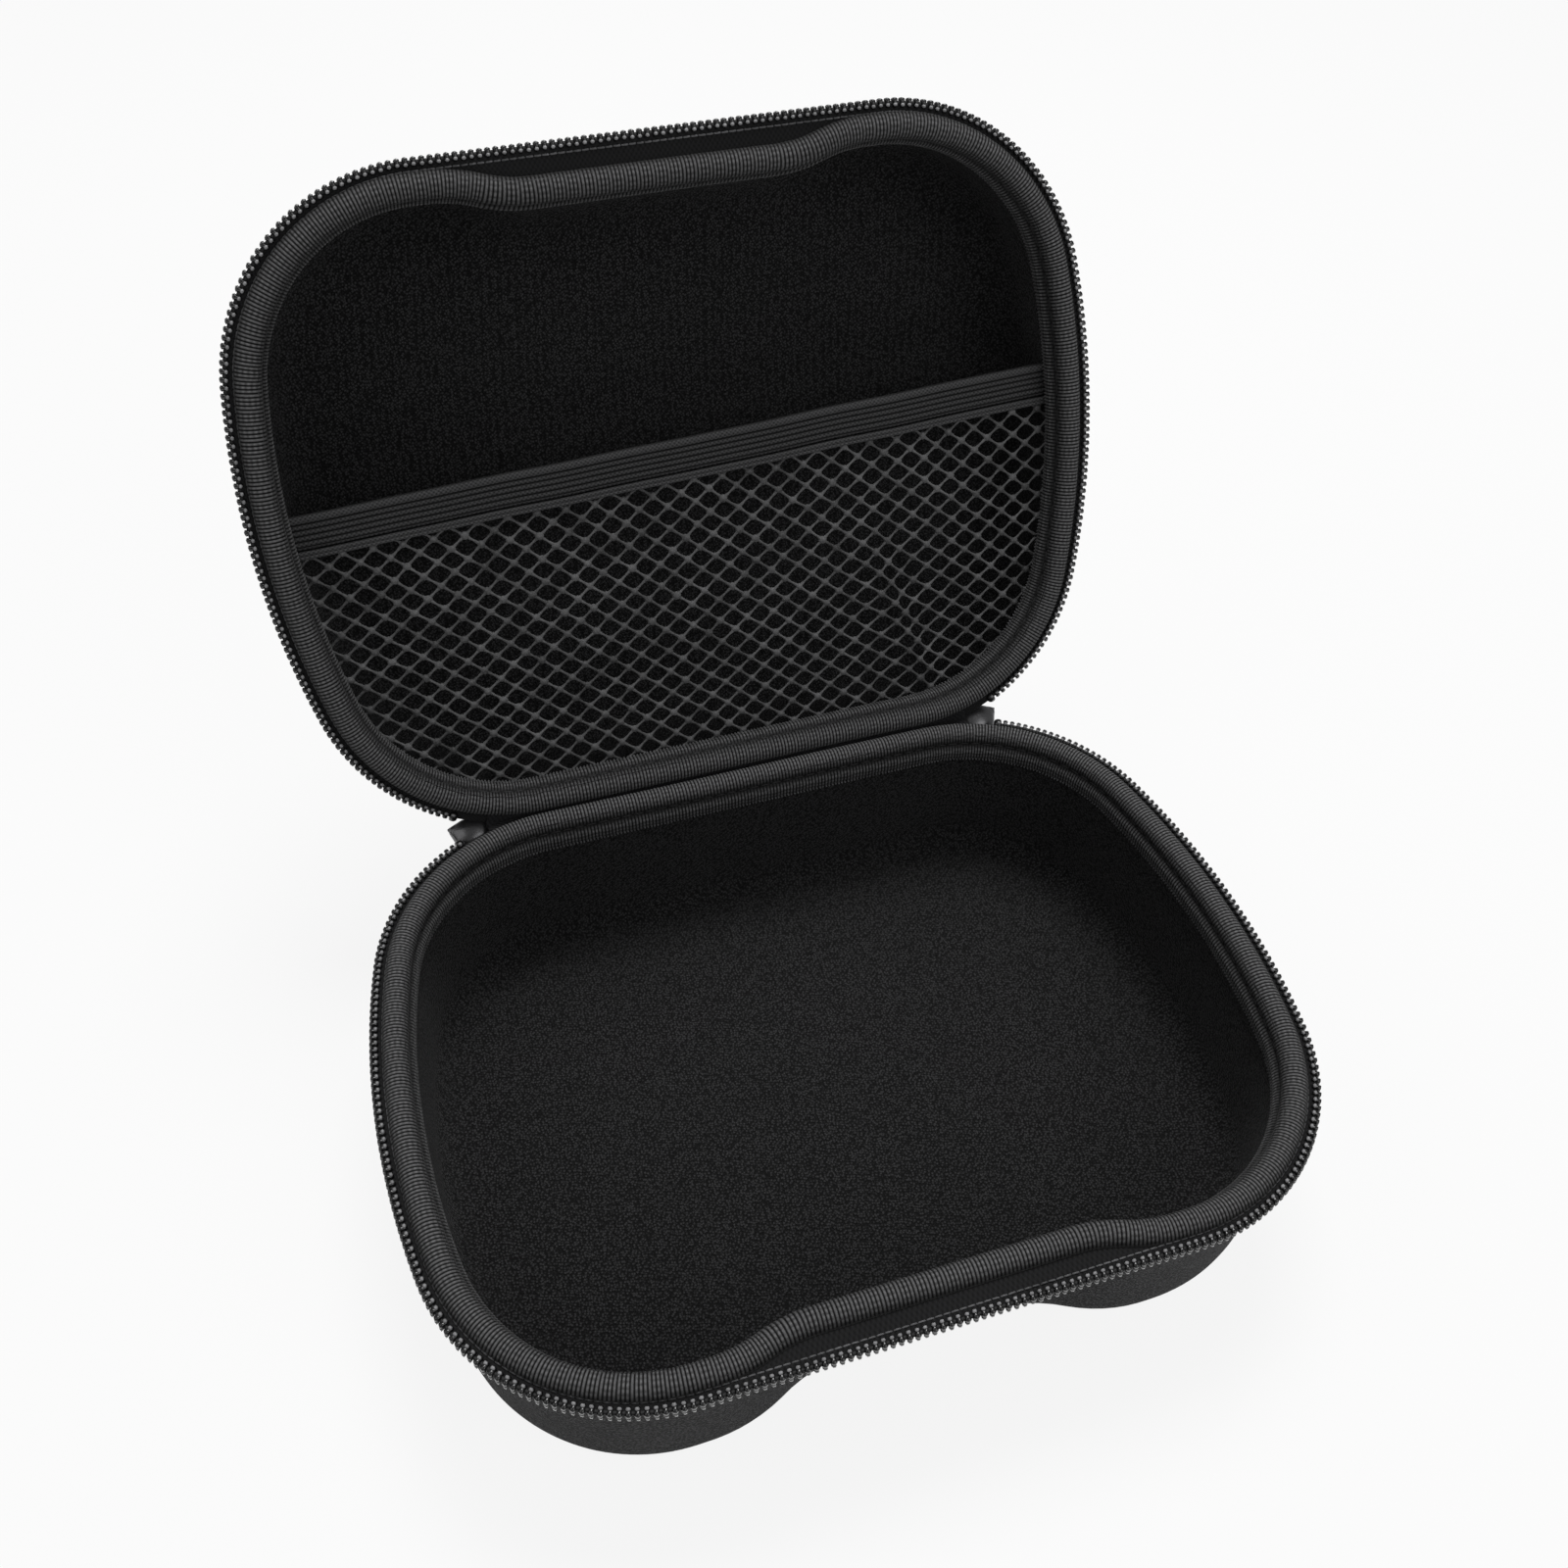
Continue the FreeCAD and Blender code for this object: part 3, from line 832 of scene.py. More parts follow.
@dataclass(frozen=True)
class ClothFinish:
    """Any woven or knitted finish: yarns are warp, weft and twill; a loop size makes it a knit."""

    name: str
    tones: tuple[str, str]
    bump: float
    yarns: tuple[float, float, float] = (0.5, 0.5, 0.0)
    loop_size: float = 0.0
    weave: float = 1.0
    fuzz: float = 0.3
    fuzz_size: float = 0.00035
    patch_size: float = 0.03
    even: float = 0.94
    rough: float = 0.85
    rough_play: float = 0.08
    rib_mark: bool = False
    rib_power: float = 2.2

    def make(self) -> bpy.types.Material:
        """Builds the material.

        Returns:
            The finished cloth material.
        """
        paint = Paint(self.name)
        place, fuzz, patch = paint.add_fibre(self.fuzz_size, self.patch_size)
        if self.loop_size:
            sizes = {"Vector": place, "Loop Size": self.loop_size * MM}
            yarns = paint.add("ShaderNodeGroup", sizes, node_tree=GROUPS.pebble)
        else:
            warp, weft, twill = self.yarns
            lay = paint.add("ShaderNodeUVMap", uv_map=CLOTH_UV)
            sizes = {"Vector": lay, "Warp": warp * MM, "Weft": weft * MM, "Twill": twill}
            yarns = paint.add("ShaderNodeGroup", sizes, node_tree=GROUPS.weave)
        shade = paint.times(paint.span(yarns.outputs["Shade"], 1.0 - self.weave, 1.0), 1.0 - self.fuzz)
        shade = paint.plus(shade, paint.times(fuzz, self.fuzz))
        if self.rib_mark:
            # The painted shade of the ribs darkens the colour in their hollows and along the shaded rows of
            # the section.
            ribs = paint.add("ShaderNodeAttribute", attribute_name="rib_shade").outputs["Fac"]
            shade = paint.times(shade, paint.math("POWER", ribs, self.rib_power))
        shade = paint.math("MULTIPLY", shade, paint.span(patch, self.even, 1.0), clamp=True)
        lift = paint.plus(yarns.outputs["Height"], paint.times(fuzz, 0.35))
        others = {
            "Roughness": paint.span(fuzz, self.rough - self.rough_play, self.rough + self.rough_play),
            "Sheen Weight": 0.05,
            "Sheen Roughness": 0.45,
            "Specular IOR Level": 0.18,
        }
        return paint.finish(self.tones, shade, lift, self.bump, others)


@dataclass(frozen=True)
class SolidFinish:
    """Nylon, thread, cast metal or foam: one body with grain, wear and a little unevenness."""

    name: str
    tones: tuple[str, str]
    rough: float
    grain_lift: float = 0.01
    grain: float = 0.00025
    patch: float = 0.006
    metallic: float = 0.0
    sheen: float = 0.0
    coat: float = 0.0

    def make(self) -> bpy.types.Material:
        """Builds the material.

        Returns:
            The finished solid material.
        """
        paint = Paint(self.name)
        _, fuzz, patch = paint.add_fibre(self.grain, self.patch)
        shade = paint.math("ADD", paint.times(fuzz, 0.4), paint.times(patch, 0.6), clamp=True)
        others = {
            "Roughness": paint.span(patch, self.rough - 0.06, self.rough + 0.08),
            "Metallic": self.metallic,
            "Sheen Weight": self.sheen,
            "Coat Weight": self.coat,
        }
        return paint.finish(self.tones, shade, fuzz, self.grain_lift, others)


class Finishes:
    """Every finish of the case, named for what it covers."""

    def __init__(self) -> None:
        """Mixes them all."""
        self.twill = ClothFinish("outer twill", ("090909", "5f5f60"), 0.2, loop_size=0.56, fuzz=0.25).make()
        self.jersey = ClothFinish(
            "jersey lining", ("030303", "414142"), 0.22, loop_size=0.56, fuzz=0.15, fuzz_size=0.0004
        ).make()
        self.ribbed = ClothFinish(
            "ribbed binding", ("030303", "7a7a7b"), 0.06, (3.0, 0.56, 0.0), weave=0.7, rib_mark=True
        ).make()
        self.tape = ClothFinish("woven zip tape", ("080808", "242425"), 0.06, (0.5, 0.35, 0.0)).make()
        self.elastic = ClothFinish(
            "ribbed elastic", ("040404", "5a5a5b"), 0.1, (0.5, 0.45, 0.0), rib_mark=True
        ).make()
        self.hinge = ClothFinish("hinge cloth", ("0c0c0d", "28282a"), 0.08, (0.55, 0.55, 1.0)).make()
        self.net = SolidFinish("net thread", ("1a1a1a", "6c6c6d"), 0.7, 0.03, grain=0.0004, sheen=0.1).make()
        self.coil = SolidFinish("nylon coil", ("080808", "202021"), 0.22, 0.006, coat=0.5).make()
        # Beads of sewing thread on the coil: a real thread whose light tones also paint the highlight on each
        # tooth's crown.
        self.coil_thread = SolidFinish("coil sewing thread", ("6c6c6d", "a6a6a8"), 0.5, sheen=0.1).make()
        self.thread = SolidFinish("sewing thread", ("2c2c2d", "6e6e70"), 0.6, 0.02, sheen=0.1).make()
        self.dark_thread = SolidFinish("dark sewing thread", ("101010", "2e2e2f"), 0.65, 0.02).make()
        self.metal = SolidFinish(
            "gunmetal casting", ("525253", "828284"), 0.3, 0.006, patch=0.008, metallic=0.9
        ).make()
        self.foam = SolidFinish("foam board", ("141414", "2c2c2c"), 0.9, 0.08, grain=0.0009).make()


FINISH = Finishes()


class GeometryTrees:
    """Geometry Nodes for what repeats: ribs on a strip, pieces along a path and the threads of the net."""

    def __init__(self) -> None:
        """Builds the three trees."""
        self.ribs = self._ribs()
        self.along = self._along()
        self.net = self._net()

    @staticmethod
    def _open(name: str, inputs: dict[str, object]) -> tuple[Bench, bpy.types.Node, bpy.types.Node]:
        """Starts a tree with geometry in and out, the inputs and a material."""
        sockets = {"Geometry": "Geometry", **inputs, "Material": "Material"}
        return open_group("GeometryNodeTree", name, sockets, {"Geometry": "Geometry"})

    @staticmethod
    def _close(
        bench: Bench, given: bpy.types.Node, made: bpy.types.Node, geometry: bpy.types.Node
    ) -> bpy.types.NodeTree:
        """Ends a tree with realised instances and the material.

        Args:
            bench: the tree's bench.
            given: the tree's input node.
            made: the tree's output node.
            geometry: the node with the geometry.

        Returns:
            The tree.
        """
        real = bench.add("GeometryNodeRealizeInstances", {0: geometry})
        sockets = {"Geometry": real, "Material": given.outputs["Material"]}
        bench.feed(made.inputs[0], bench.add("GeometryNodeSetMaterial", sockets))
        return bench.tree

    @staticmethod
    def _mark(bench: Bench, name: str) -> bpy.types.NodeSocket:
        """Reads a float mark of the points."""
        node = bench.add("GeometryNodeInputNamedAttribute", {"Name": name}, data_type="FLOAT")
        return node.outputs["Attribute"]

    def _ribs(self) -> bpy.types.NodeTree:
        """Raises a rib at each whole turn of the mark rib_turns, by the weight rib_weight, and stores
        rib_shade: painted shade, darker in the hollows between the ribs and times the painted shade of each
        row.

        Returns:
            The tree.
        """
        bench, given, made = self._open("raised ribs", {"Rib Rise": 0.00012, "Uneven": 0.35, "Seed": 4})
        turns, weight = self._mark(bench, "rib_turns"), self._mark(bench, "rib_weight")
        wave = bench.math("COSINE", bench.times(turns, 2.0 * math.pi))
        rib = bench.math("FLOOR", bench.plus(turns, 0.5))
        draws = {"ID": rib, "Seed": given.outputs["Seed"]}
        dice = bench.add("FunctionNodeRandomValue", draws, data_type="FLOAT")
        keep = bench.math("SUBTRACT", 1.0, bench.times(dice.outputs[1], given.outputs["Uneven"]))
        rise = bench.times(bench.times(wave, weight), bench.times(keep, given.outputs["Rib Rise"]))
        offset = bench.scaled(bench.add("GeometryNodeInputNormal"), rise)
        move = bench.add("GeometryNodeSetPosition", {"Geometry": given, "Offset": offset})
        # Painted shade: the hollows between the ribs are darkened, then scaled by the painted shade that each
        # row of the section carries.
        hollow = bench.times(bench.math("SUBTRACT", 0.5, wave), bench.times(weight, 0.66))
        shade = bench.times(bench.math("SUBTRACT", 1.0, hollow, clamp=True), self._mark(bench, "row_tone"))
        tone = bench.add(
            "GeometryNodeStoreNamedAttribute",
            {"Geometry": move, "Name": "rib_shade", "Value": shade},
            data_type="FLOAT",
            domain="POINT",
        )
        return self._close(bench, given, made, tone)

    def _along(self) -> bpy.types.NodeTree:
        """Sets a small piece at every pitch of a path, turned to follow it.

        Returns:
            The tree.
        """
        sizes = {"Piece": "Object", "Pitch": 0.0016, "Turn Play": 0.05, "Size Play": 0.05, "Seed": 7}
        bench, given, made = self._open("pieces along a path", sizes)
        seed = given.outputs["Seed"]
        curve = bench.add("GeometryNodeMeshToCurve", {"Mesh": given})
        pitch = {"Curve": curve, "Length": given.outputs["Pitch"]}
        even = bench.add("GeometryNodeResampleCurve", pitch, mode="LENGTH")
        tangent = {"Vector": bench.add("GeometryNodeInputTangent")}
        face = bench.add("FunctionNodeAlignRotationToVector", tangent, axis="X", pivot_axis="Z")
        draws = {"Seed": seed, "Min": (-1.0, -1.0, -1.0)}
        dice = bench.add("FunctionNodeRandomValue", draws, data_type="FLOAT_VECTOR")
        angles = bench.add("FunctionNodeEulerToRotation", {0: bench.scaled(dice, given.outputs["Turn Play"])})
        turned = bench.add("FunctionNodeRotateRotation", {0: face, 1: angles}, rotation_space="LOCAL")
        sizes = bench.add("FunctionNodeRandomValue", {"Seed": seed}, data_type="FLOAT")
        size = bench.math("SUBTRACT", 1.0, bench.times(sizes.outputs[1], given.outputs["Size Play"]))
        piece = bench.add("GeometryNodeObjectInfo", {"Object": given.outputs["Piece"]}).outputs["Geometry"]
        laid = {"Points": even, "Instance": piece, "Rotation": turned, "Scale": size}
        return self._close(bench, given, made, bench.add("GeometryNodeInstanceOnPoints", laid))

    def _net(self) -> bpy.types.NodeTree:
        """Round threads along the edges of a lattice, thicker at the knots, with a bead on each knot.

        Returns:
            The tree.
        """
        sizes = {"Thread Sides": 6, "Thread Radius": 0.00027, "Knot Radius": 0.00088, "Seed": 3}
        bench, given, made = self._open("knotted net", sizes)
        curve = bench.add("GeometryNodeMeshToCurve", {"Mesh": given})
        thread = {"Resolution": given.outputs["Thread Sides"], "Radius": given.outputs["Thread Radius"]}
        ring = bench.add("GeometryNodeCurvePrimitiveCircle", thread)
        size = self._mark(bench, "thickness")
        sweep = {"Curve": curve, "Profile Curve": ring, "Scale": size, "Fill Caps": True}
        tube = bench.add("GeometryNodeCurveToMesh", sweep)
        ball = {"Subdivisions": 2, "Radius": given.outputs["Knot Radius"]}
        bead = bench.add("GeometryNodeMeshIcoSphere", ball)
        draws = {"Min": (0.85, 0.85, 0.7), "Max": (1.2, 1.1, 0.9), "Seed": given.outputs["Seed"]}
        dice = bench.add("FunctionNodeRandomValue", draws, data_type="FLOAT_VECTOR")
        chosen = bench.math("GREATER_THAN", self._mark(bench, "knot"), 0.5)
        laid = {"Points": given, "Selection": chosen, "Instance": bead, "Scale": dice}
        knots = bench.add("GeometryNodeInstanceOnPoints", laid)
        both = bench.add("GeometryNodeJoinGeometry", {0: tube})
        bench.feed(both.inputs[0], knots)
        smooth = bench.add("GeometryNodeSetShadeSmooth", {"Geometry": both})
        return self._close(bench, given, made, smooth)

    @staticmethod
    def bake(obj: bpy.types.Object, tree: bpy.types.NodeTree, **values: object) -> None:
        """Runs a tree on an object and keeps the result as its plain mesh.

        Args:
            obj: the object that carries the tree's input.
            tree: the tree.
            values: the tree's inputs, named with underscores for spaces.
        """
        modifier = obj.modifiers.new(tree.name, "NODES")
        modifier.node_group = tree
        for item in tree.interface.items_tree:
            key = item.name.replace(" ", "_").lower()
            if item.in_out == "INPUT" and key in values:
                modifier[item.identifier] = values[key]
        obj.update_tag()
        bpy.context.view_layer.update()
        evaluated = obj.evaluated_get(bpy.context.evaluated_depsgraph_get())
        made = bpy.data.meshes.new_from_object(evaluated)
        obj.modifiers.remove(modifier)
        old, obj.data = obj.data, made
        made.name = obj.name
        bpy.data.meshes.remove(old)


TREES = GeometryTrees()


def capsule(
    length: float, width: float, height: float, sides: int = 6, lengthways: bool = True
) -> Draft:
    """A short rounded stitch about its own middle.

    Args:
        length: its length.
        width: its width.
        height: its height.
        sides: number of sides.
        lengthways: whether it lies along the path, not across it.

    Returns:
        The stitch as a draft.
    """
    line = np.zeros((5, 3))
    line[:, 0 if lengthways else 1] = np.array([-0.5, -0.38, 0.0, 0.38, 0.5]) * length
    line[:, 2] = np.array([-0.35, 0.0, 0.12, 0.0, -0.35]) * height
    draft = Draft()
    draft.add_tube(line, np.array([0.4, 0.9, 1.0, 0.9, 0.4]) * width / 2.0, sides, height / width)
    return draft


@dataclass(frozen=True)
class Row:
    """Small pieces at every pitch along a path, such as stitches or teeth, as one piece of a half."""

    half: Half
    kind: str
    piece: Draft
    material: bpy.types.Material
    pitch: float
    slot: str
    nodes: tuple[str, ...] = ()
    closed: bool = False
    seated: bool = False

    def lay(self, path: np.ndarray, **play: object) -> None:
        """Lays the pieces and hands them over.

        Args:
            path: points of the path in millimetres, in the half's own frame unless it is seated.
            play: other inputs of the tree.
        """
        name = f"{self.half.value}_{self.kind}"
        sample = self.piece.build(name + "_sample")
        mesh = bpy.data.meshes.new(name)
        edges = [(k, k + 1) for k in range(len(path) - 1)]
        if self.closed:
            edges.append((len(path) - 1, 0))
        mesh.from_pydata((path * MM).tolist(), edges, [])
        obj = put(name, mesh)
        TREES.bake(obj, TREES.along, piece=sample, pitch=self.pitch * MM, material=self.material, **play)
        bpy.data.objects.remove(sample)
        if self.seated:
            face_outwards(obj.data)
        else:
            set_in_half(obj.data, self.half)
        hand_over(obj, self.half.body, self.slot, *self.nodes)


# Padded shells


@dataclass
class PaddedShell:
    """Outer cloth and lining of one half, with the foam board between them."""

    half: Half
    edge_r: float
    stations: int = 320
    top: float = 1.0
    skin: float = 0.55
    glue: float = 0.04
    bend_steps: int = 11
    hub_inset: float = 19.5
    floor_rings: int = 11
    cloth_wave: float = 0.10
    lining_wave: float = 0.22
    wave_size: float = 34.0
    wave_fade: float = 8.0

    def profile(self, layer: float, floor: float) -> np.ndarray:
        """Section from the rim down the wall, round the foot and on to the floor.

        Args:
            layer: how far inside the outer skin the face lies.
            floor: drop of the floor below the rim plane.

        Returns:
            Pairs of inset and drop.
        """
        tilt = math.atan(CASE.draft)
        radius = self.edge_r - layer
        drop = floor - radius
        centre = CASE.wall(layer, drop) + radius / math.cos(tilt)
        turns = np.linspace(tilt, math.pi / 2.0, self.bend_steps)
        bend = np.column_stack([centre - radius * np.cos(turns), drop + radius * np.sin(turns)])
        drops = np.linspace(self.top, bend[0, 1], 7)[:-1]
        wall = np.column_stack([CASE.wall_inset + layer + drops * CASE.draft, drops])
        return np.concatenate([wall, bend, [[centre + 2.0, floor], [self.hub_inset, floor]]])

    def cup(self, layer: float, floor: float, wave: float, seed: int) -> tuple[np.ndarray, np.ndarray]:
        """Grid of one face of the shell, from the rim to near the middle of the floor.

        Args:
            layer: how far inside the outer skin the face lies.
            floor: drop of the floor below the rim plane.
            wave: height of the soft unevenness.
            seed: seed of the unevenness.

        Returns:
            The grid and the distance of each profile point down the section.
        """
        track = CASE.plan.track(self.stations)
        bend = floor - (self.edge_r - layer)
        section = self.profile(layer, floor)
        rows = np.stack([CASE.plan.lowered(track, min(v, bend)).lifted(u, -v) for u, v in section], 1)
        edge = rows[:, -1:]
        rings = self.floor_rings
        shrink = (1.0 - np.linspace(0.0, 1.0, rings + 2)[1:-1])[None, :, None]
        heights = np.broadcast_to(edge[..., 2:], (len(edge), rings, 1))
        rows = np.concatenate([rows, np.concatenate([edge[..., :2] * shrink, heights], 2)], 1)
        lift = soft_wave(rows.reshape(-1, 3), self.wave_size, seed).reshape(rows.shape[:2])
        lift *= np.minimum(1.0, (-rows[..., 2] - self.top) / self.wave_fade)
        rows = rows + rows_normal(rows, True) * lift[..., None] * wave
        return rows, run_length(rows[0])

    def cloth(
        self, name: str, outer: tuple[float, float], inner: tuple[float, float], wave: float, seed: int
    ) -> bpy.types.Object:
        """Closed sheet between two faces of the shell.

        Args:
            name: name of the piece.
            outer: layer and floor drop of the outer face.
            inner: layer and floor drop of the inner face.
            wave: height of the soft unevenness.
            seed: seed of the unevenness.

        Returns:
            The piece in its half's frame.
        """
        draft = Draft()
        u = np.linspace(0.0, CASE.plan.length() * MM, self.stations + 1)
        pairs = [(i, (i + 1) % self.stations) for i in range(self.stations)]
        rims = []
        for inside, (layer, floor) in enumerate((outer, inner)):
            rows, down = self.cup(layer, floor, wave, seed)
            columns = rows.shape[1]
            end, rim, planar = columns - 1, 0, range(self.bend_steps, columns)
            if inside:
                rows, down = rows[:, ::-1], down[::-1]
                end, rim, planar = 0, columns - 1, range(columns - self.bend_steps - 1)
            first = draft.add_grid(rows, u, down * MM, wrap_rows=True, planar=planar)
            middle = rows[:, end].mean(0)
            hub = draft.add_points(middle[None])
            for pair in pairs:
                fan = [(first + k * columns + end, rows[k, end]) for k in pair] + [(hub, middle)]
                fan = fan[::-1] if inside else fan
                draft.add_face([corner for corner, _ in fan], [tuple(spot[:2] * MM) for _, spot in fan])
            rims.append([first + k * columns + rim for k in range(self.stations)])
        for here, ahead in pairs:
            draft.add_face([rims[0][here], rims[0][ahead], rims[1][ahead], rims[1][here]])
        return draft.build(name)

    def build(self) -> None:
        """Makes and dresses the two cloths and the board of this half."""
        base = self.half is Half.BASE
        depth = CASE.base_depth if base else CASE.lid_depth
        top = depth - (CASE.floor_pad if base else 0.0)
        board = CASE.fabric + CASE.foam + self.glue
        name = self.half.value
        skin = (self.skin, depth - self.skin)
        cloth = self.cloth(f"{name}_outer_cloth", (0.0, depth), skin, self.cloth_wave, 11)
        faces = (board, top - board), (CASE.layers, top - CASE.layers)
        lining = self.cloth(f"{name}_lining_cloth", *faces, self.lining_wave, 23)
        finish_piece(cloth, self.half, FINISH.twill, "outer_fabric", f"{name}_fabric")
        finish_piece(lining, self.half, FINISH.jersey, "lining", f"{name}_lining")
        dress(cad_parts[f"{name}_foam_board"], FINISH.foam)


# Rim binding


@dataclass
class RimBinding:
    """Ribbed tape rolled over the rim and turned down inside it, with its sewing."""

    half: Half
    rib_pitch: float = 0.8
    rib_rise: float = 0.13
    roll_width: float = 5.4
    roll_foot: float = 2.6
    gap: float = 0.15
    band_foot: float = 8.0
    seam_drop: float = 3.3

    def section(self) -> tuple[np.ndarray, np.ndarray, np.ndarray]:
        """Section of the tape, with the weight of the ribs and the painted shade at each of its points.

        Returns:
            Pairs of inset and drop round the section, the weights and the painted shade of each point.
        """
        half = self.roll_width / 2.0
        sag = self.roll_foot - self.gap
        radius = (half * half + sag * sag) / (2.0 * sag)
        centre = self.gap + radius
        reach = math.asin(half / radius) if centre > self.roll_foot else math.pi - math.asin(half / radius)
        turns = np.linspace(-reach, reach, 11)
        roll = np.column_stack([half + radius * np.sin(turns), centre - radius * np.cos(turns)])
        inner = CASE.layers
        drops = np.array([3.5, 3.85, 4.3, 4.8, 5.3, 5.8, 6.3, 6.8, 7.3, 7.8, self.band_foot])
        bulge = np.array([0.12, 0.55, 0.98, 1.18, 1.36, 1.22, 1.38, 1.12, 1.14, 0.66, 0.15])
        band = np.column_stack([[CASE.wall(inner, d) + b for d, b in zip(drops, bulge)], drops])
        groove = np.array([[5.15, 3.15]])
        back = [(CASE.wall(layer, d), d) for layer, d in ((inner, 7.7), (inner, 1.2), (0.0, 1.2), (0.0, 2.5))]
        weights = [0.5] + [1.0] * 9 + [0.8, 0.2, 0.0, 0.6] + [1.0] * 7 + [0.8, 0.3] + [0.0] * 4
        # Painted shade: the roll is lightest at its crown and darker down its flanks; the groove, the band's
        # edges and the hollows between its ridges are darker too.
        tones = [0.42, 0.6, 0.78, 0.92, 1.0, 1.0, 1.0, 0.95, 0.86, 0.72, 0.5]
        tones += [0.2, 0.3, 0.55, 0.8, 0.95, 1.0, 0.72, 1.0, 0.72, 0.95, 0.85, 0.7] + [0.5] * 4
        return np.concatenate([roll, groove, band, back]), np.array(weights), np.array(tones)

    def build(self) -> None:
        """Makes the tape, its edge stitches and the seam in the groove."""
        ribs = round(CASE.plan.length() / self.rib_pitch)
        stations = 3 * ribs
        track = CASE.plan.track(stations)
        section, weights, tones = self.section()
        name = self.half.value
        sway = 0.10 * soft_wave(track.lifted(0.0, 0.0), 45.0, 5 if self.half is Half.BASE else 6)
        lines = [track.lifted(u + sway * min(w, 1.0), -v) for (u, v), w in zip(section, weights)]
        draft = Draft()
        draft.add_grid(
            np.stack(lines, 1),
            np.linspace(0.0, CASE.plan.length() * MM, stations + 1),
            run_length(np.vstack([section, section[:1]])) * MM,
            wrap_rows=True,
            wrap_cols=True,
            rib_turns=np.repeat(np.arange(stations) / 3.0 + 1.0 / 6.0, len(section)),
            rib_weight=np.tile(weights, stations),
            # The last mark carries the painted shade of each point of the section round the tape.
            row_tone=np.tile(tones, stations),
        )
        tape = draft.build(f"{name}_ribbed_binding")
        face_outwards(tape.data)
        TREES.bake(tape, TREES.ribs, rib_rise=self.rib_rise * MM, seed=4, material=FINISH.ribbed)
        finish_piece(tape, self.half, FINISH.ribbed, "binding", f"{name}_binding", agree=False)
        self.sew()

    def sew(self) -> None:
        """Makes the overedge stitches under the band and the lock stitches in the groove."""
        track = CASE.plan.track(900)
        foot = self.band_foot
        stitch = capsule(1.3, 0.5, 0.5, sides=5, lengthways=False)
        row = Row(self.half, "edge_stitches", stitch, FINISH.thread, self.rib_pitch, "binding", closed=True)
        row.lay(track.lifted(CASE.wall(CASE.layers, foot) + 0.38, -foot + 0.1), turn_play=0.12, seed=9)
        stitch = capsule(2.3, 0.4, 0.36)
        row = Row(self.half, "groove_seam", stitch, FINISH.dark_thread, 2.8, "binding", closed=True)
        inset = CASE.wall(CASE.layers, self.seam_drop) + 0.28
        row.lay(track.lifted(inset, -self.seam_drop), turn_play=0.03, seed=2)


# Zip


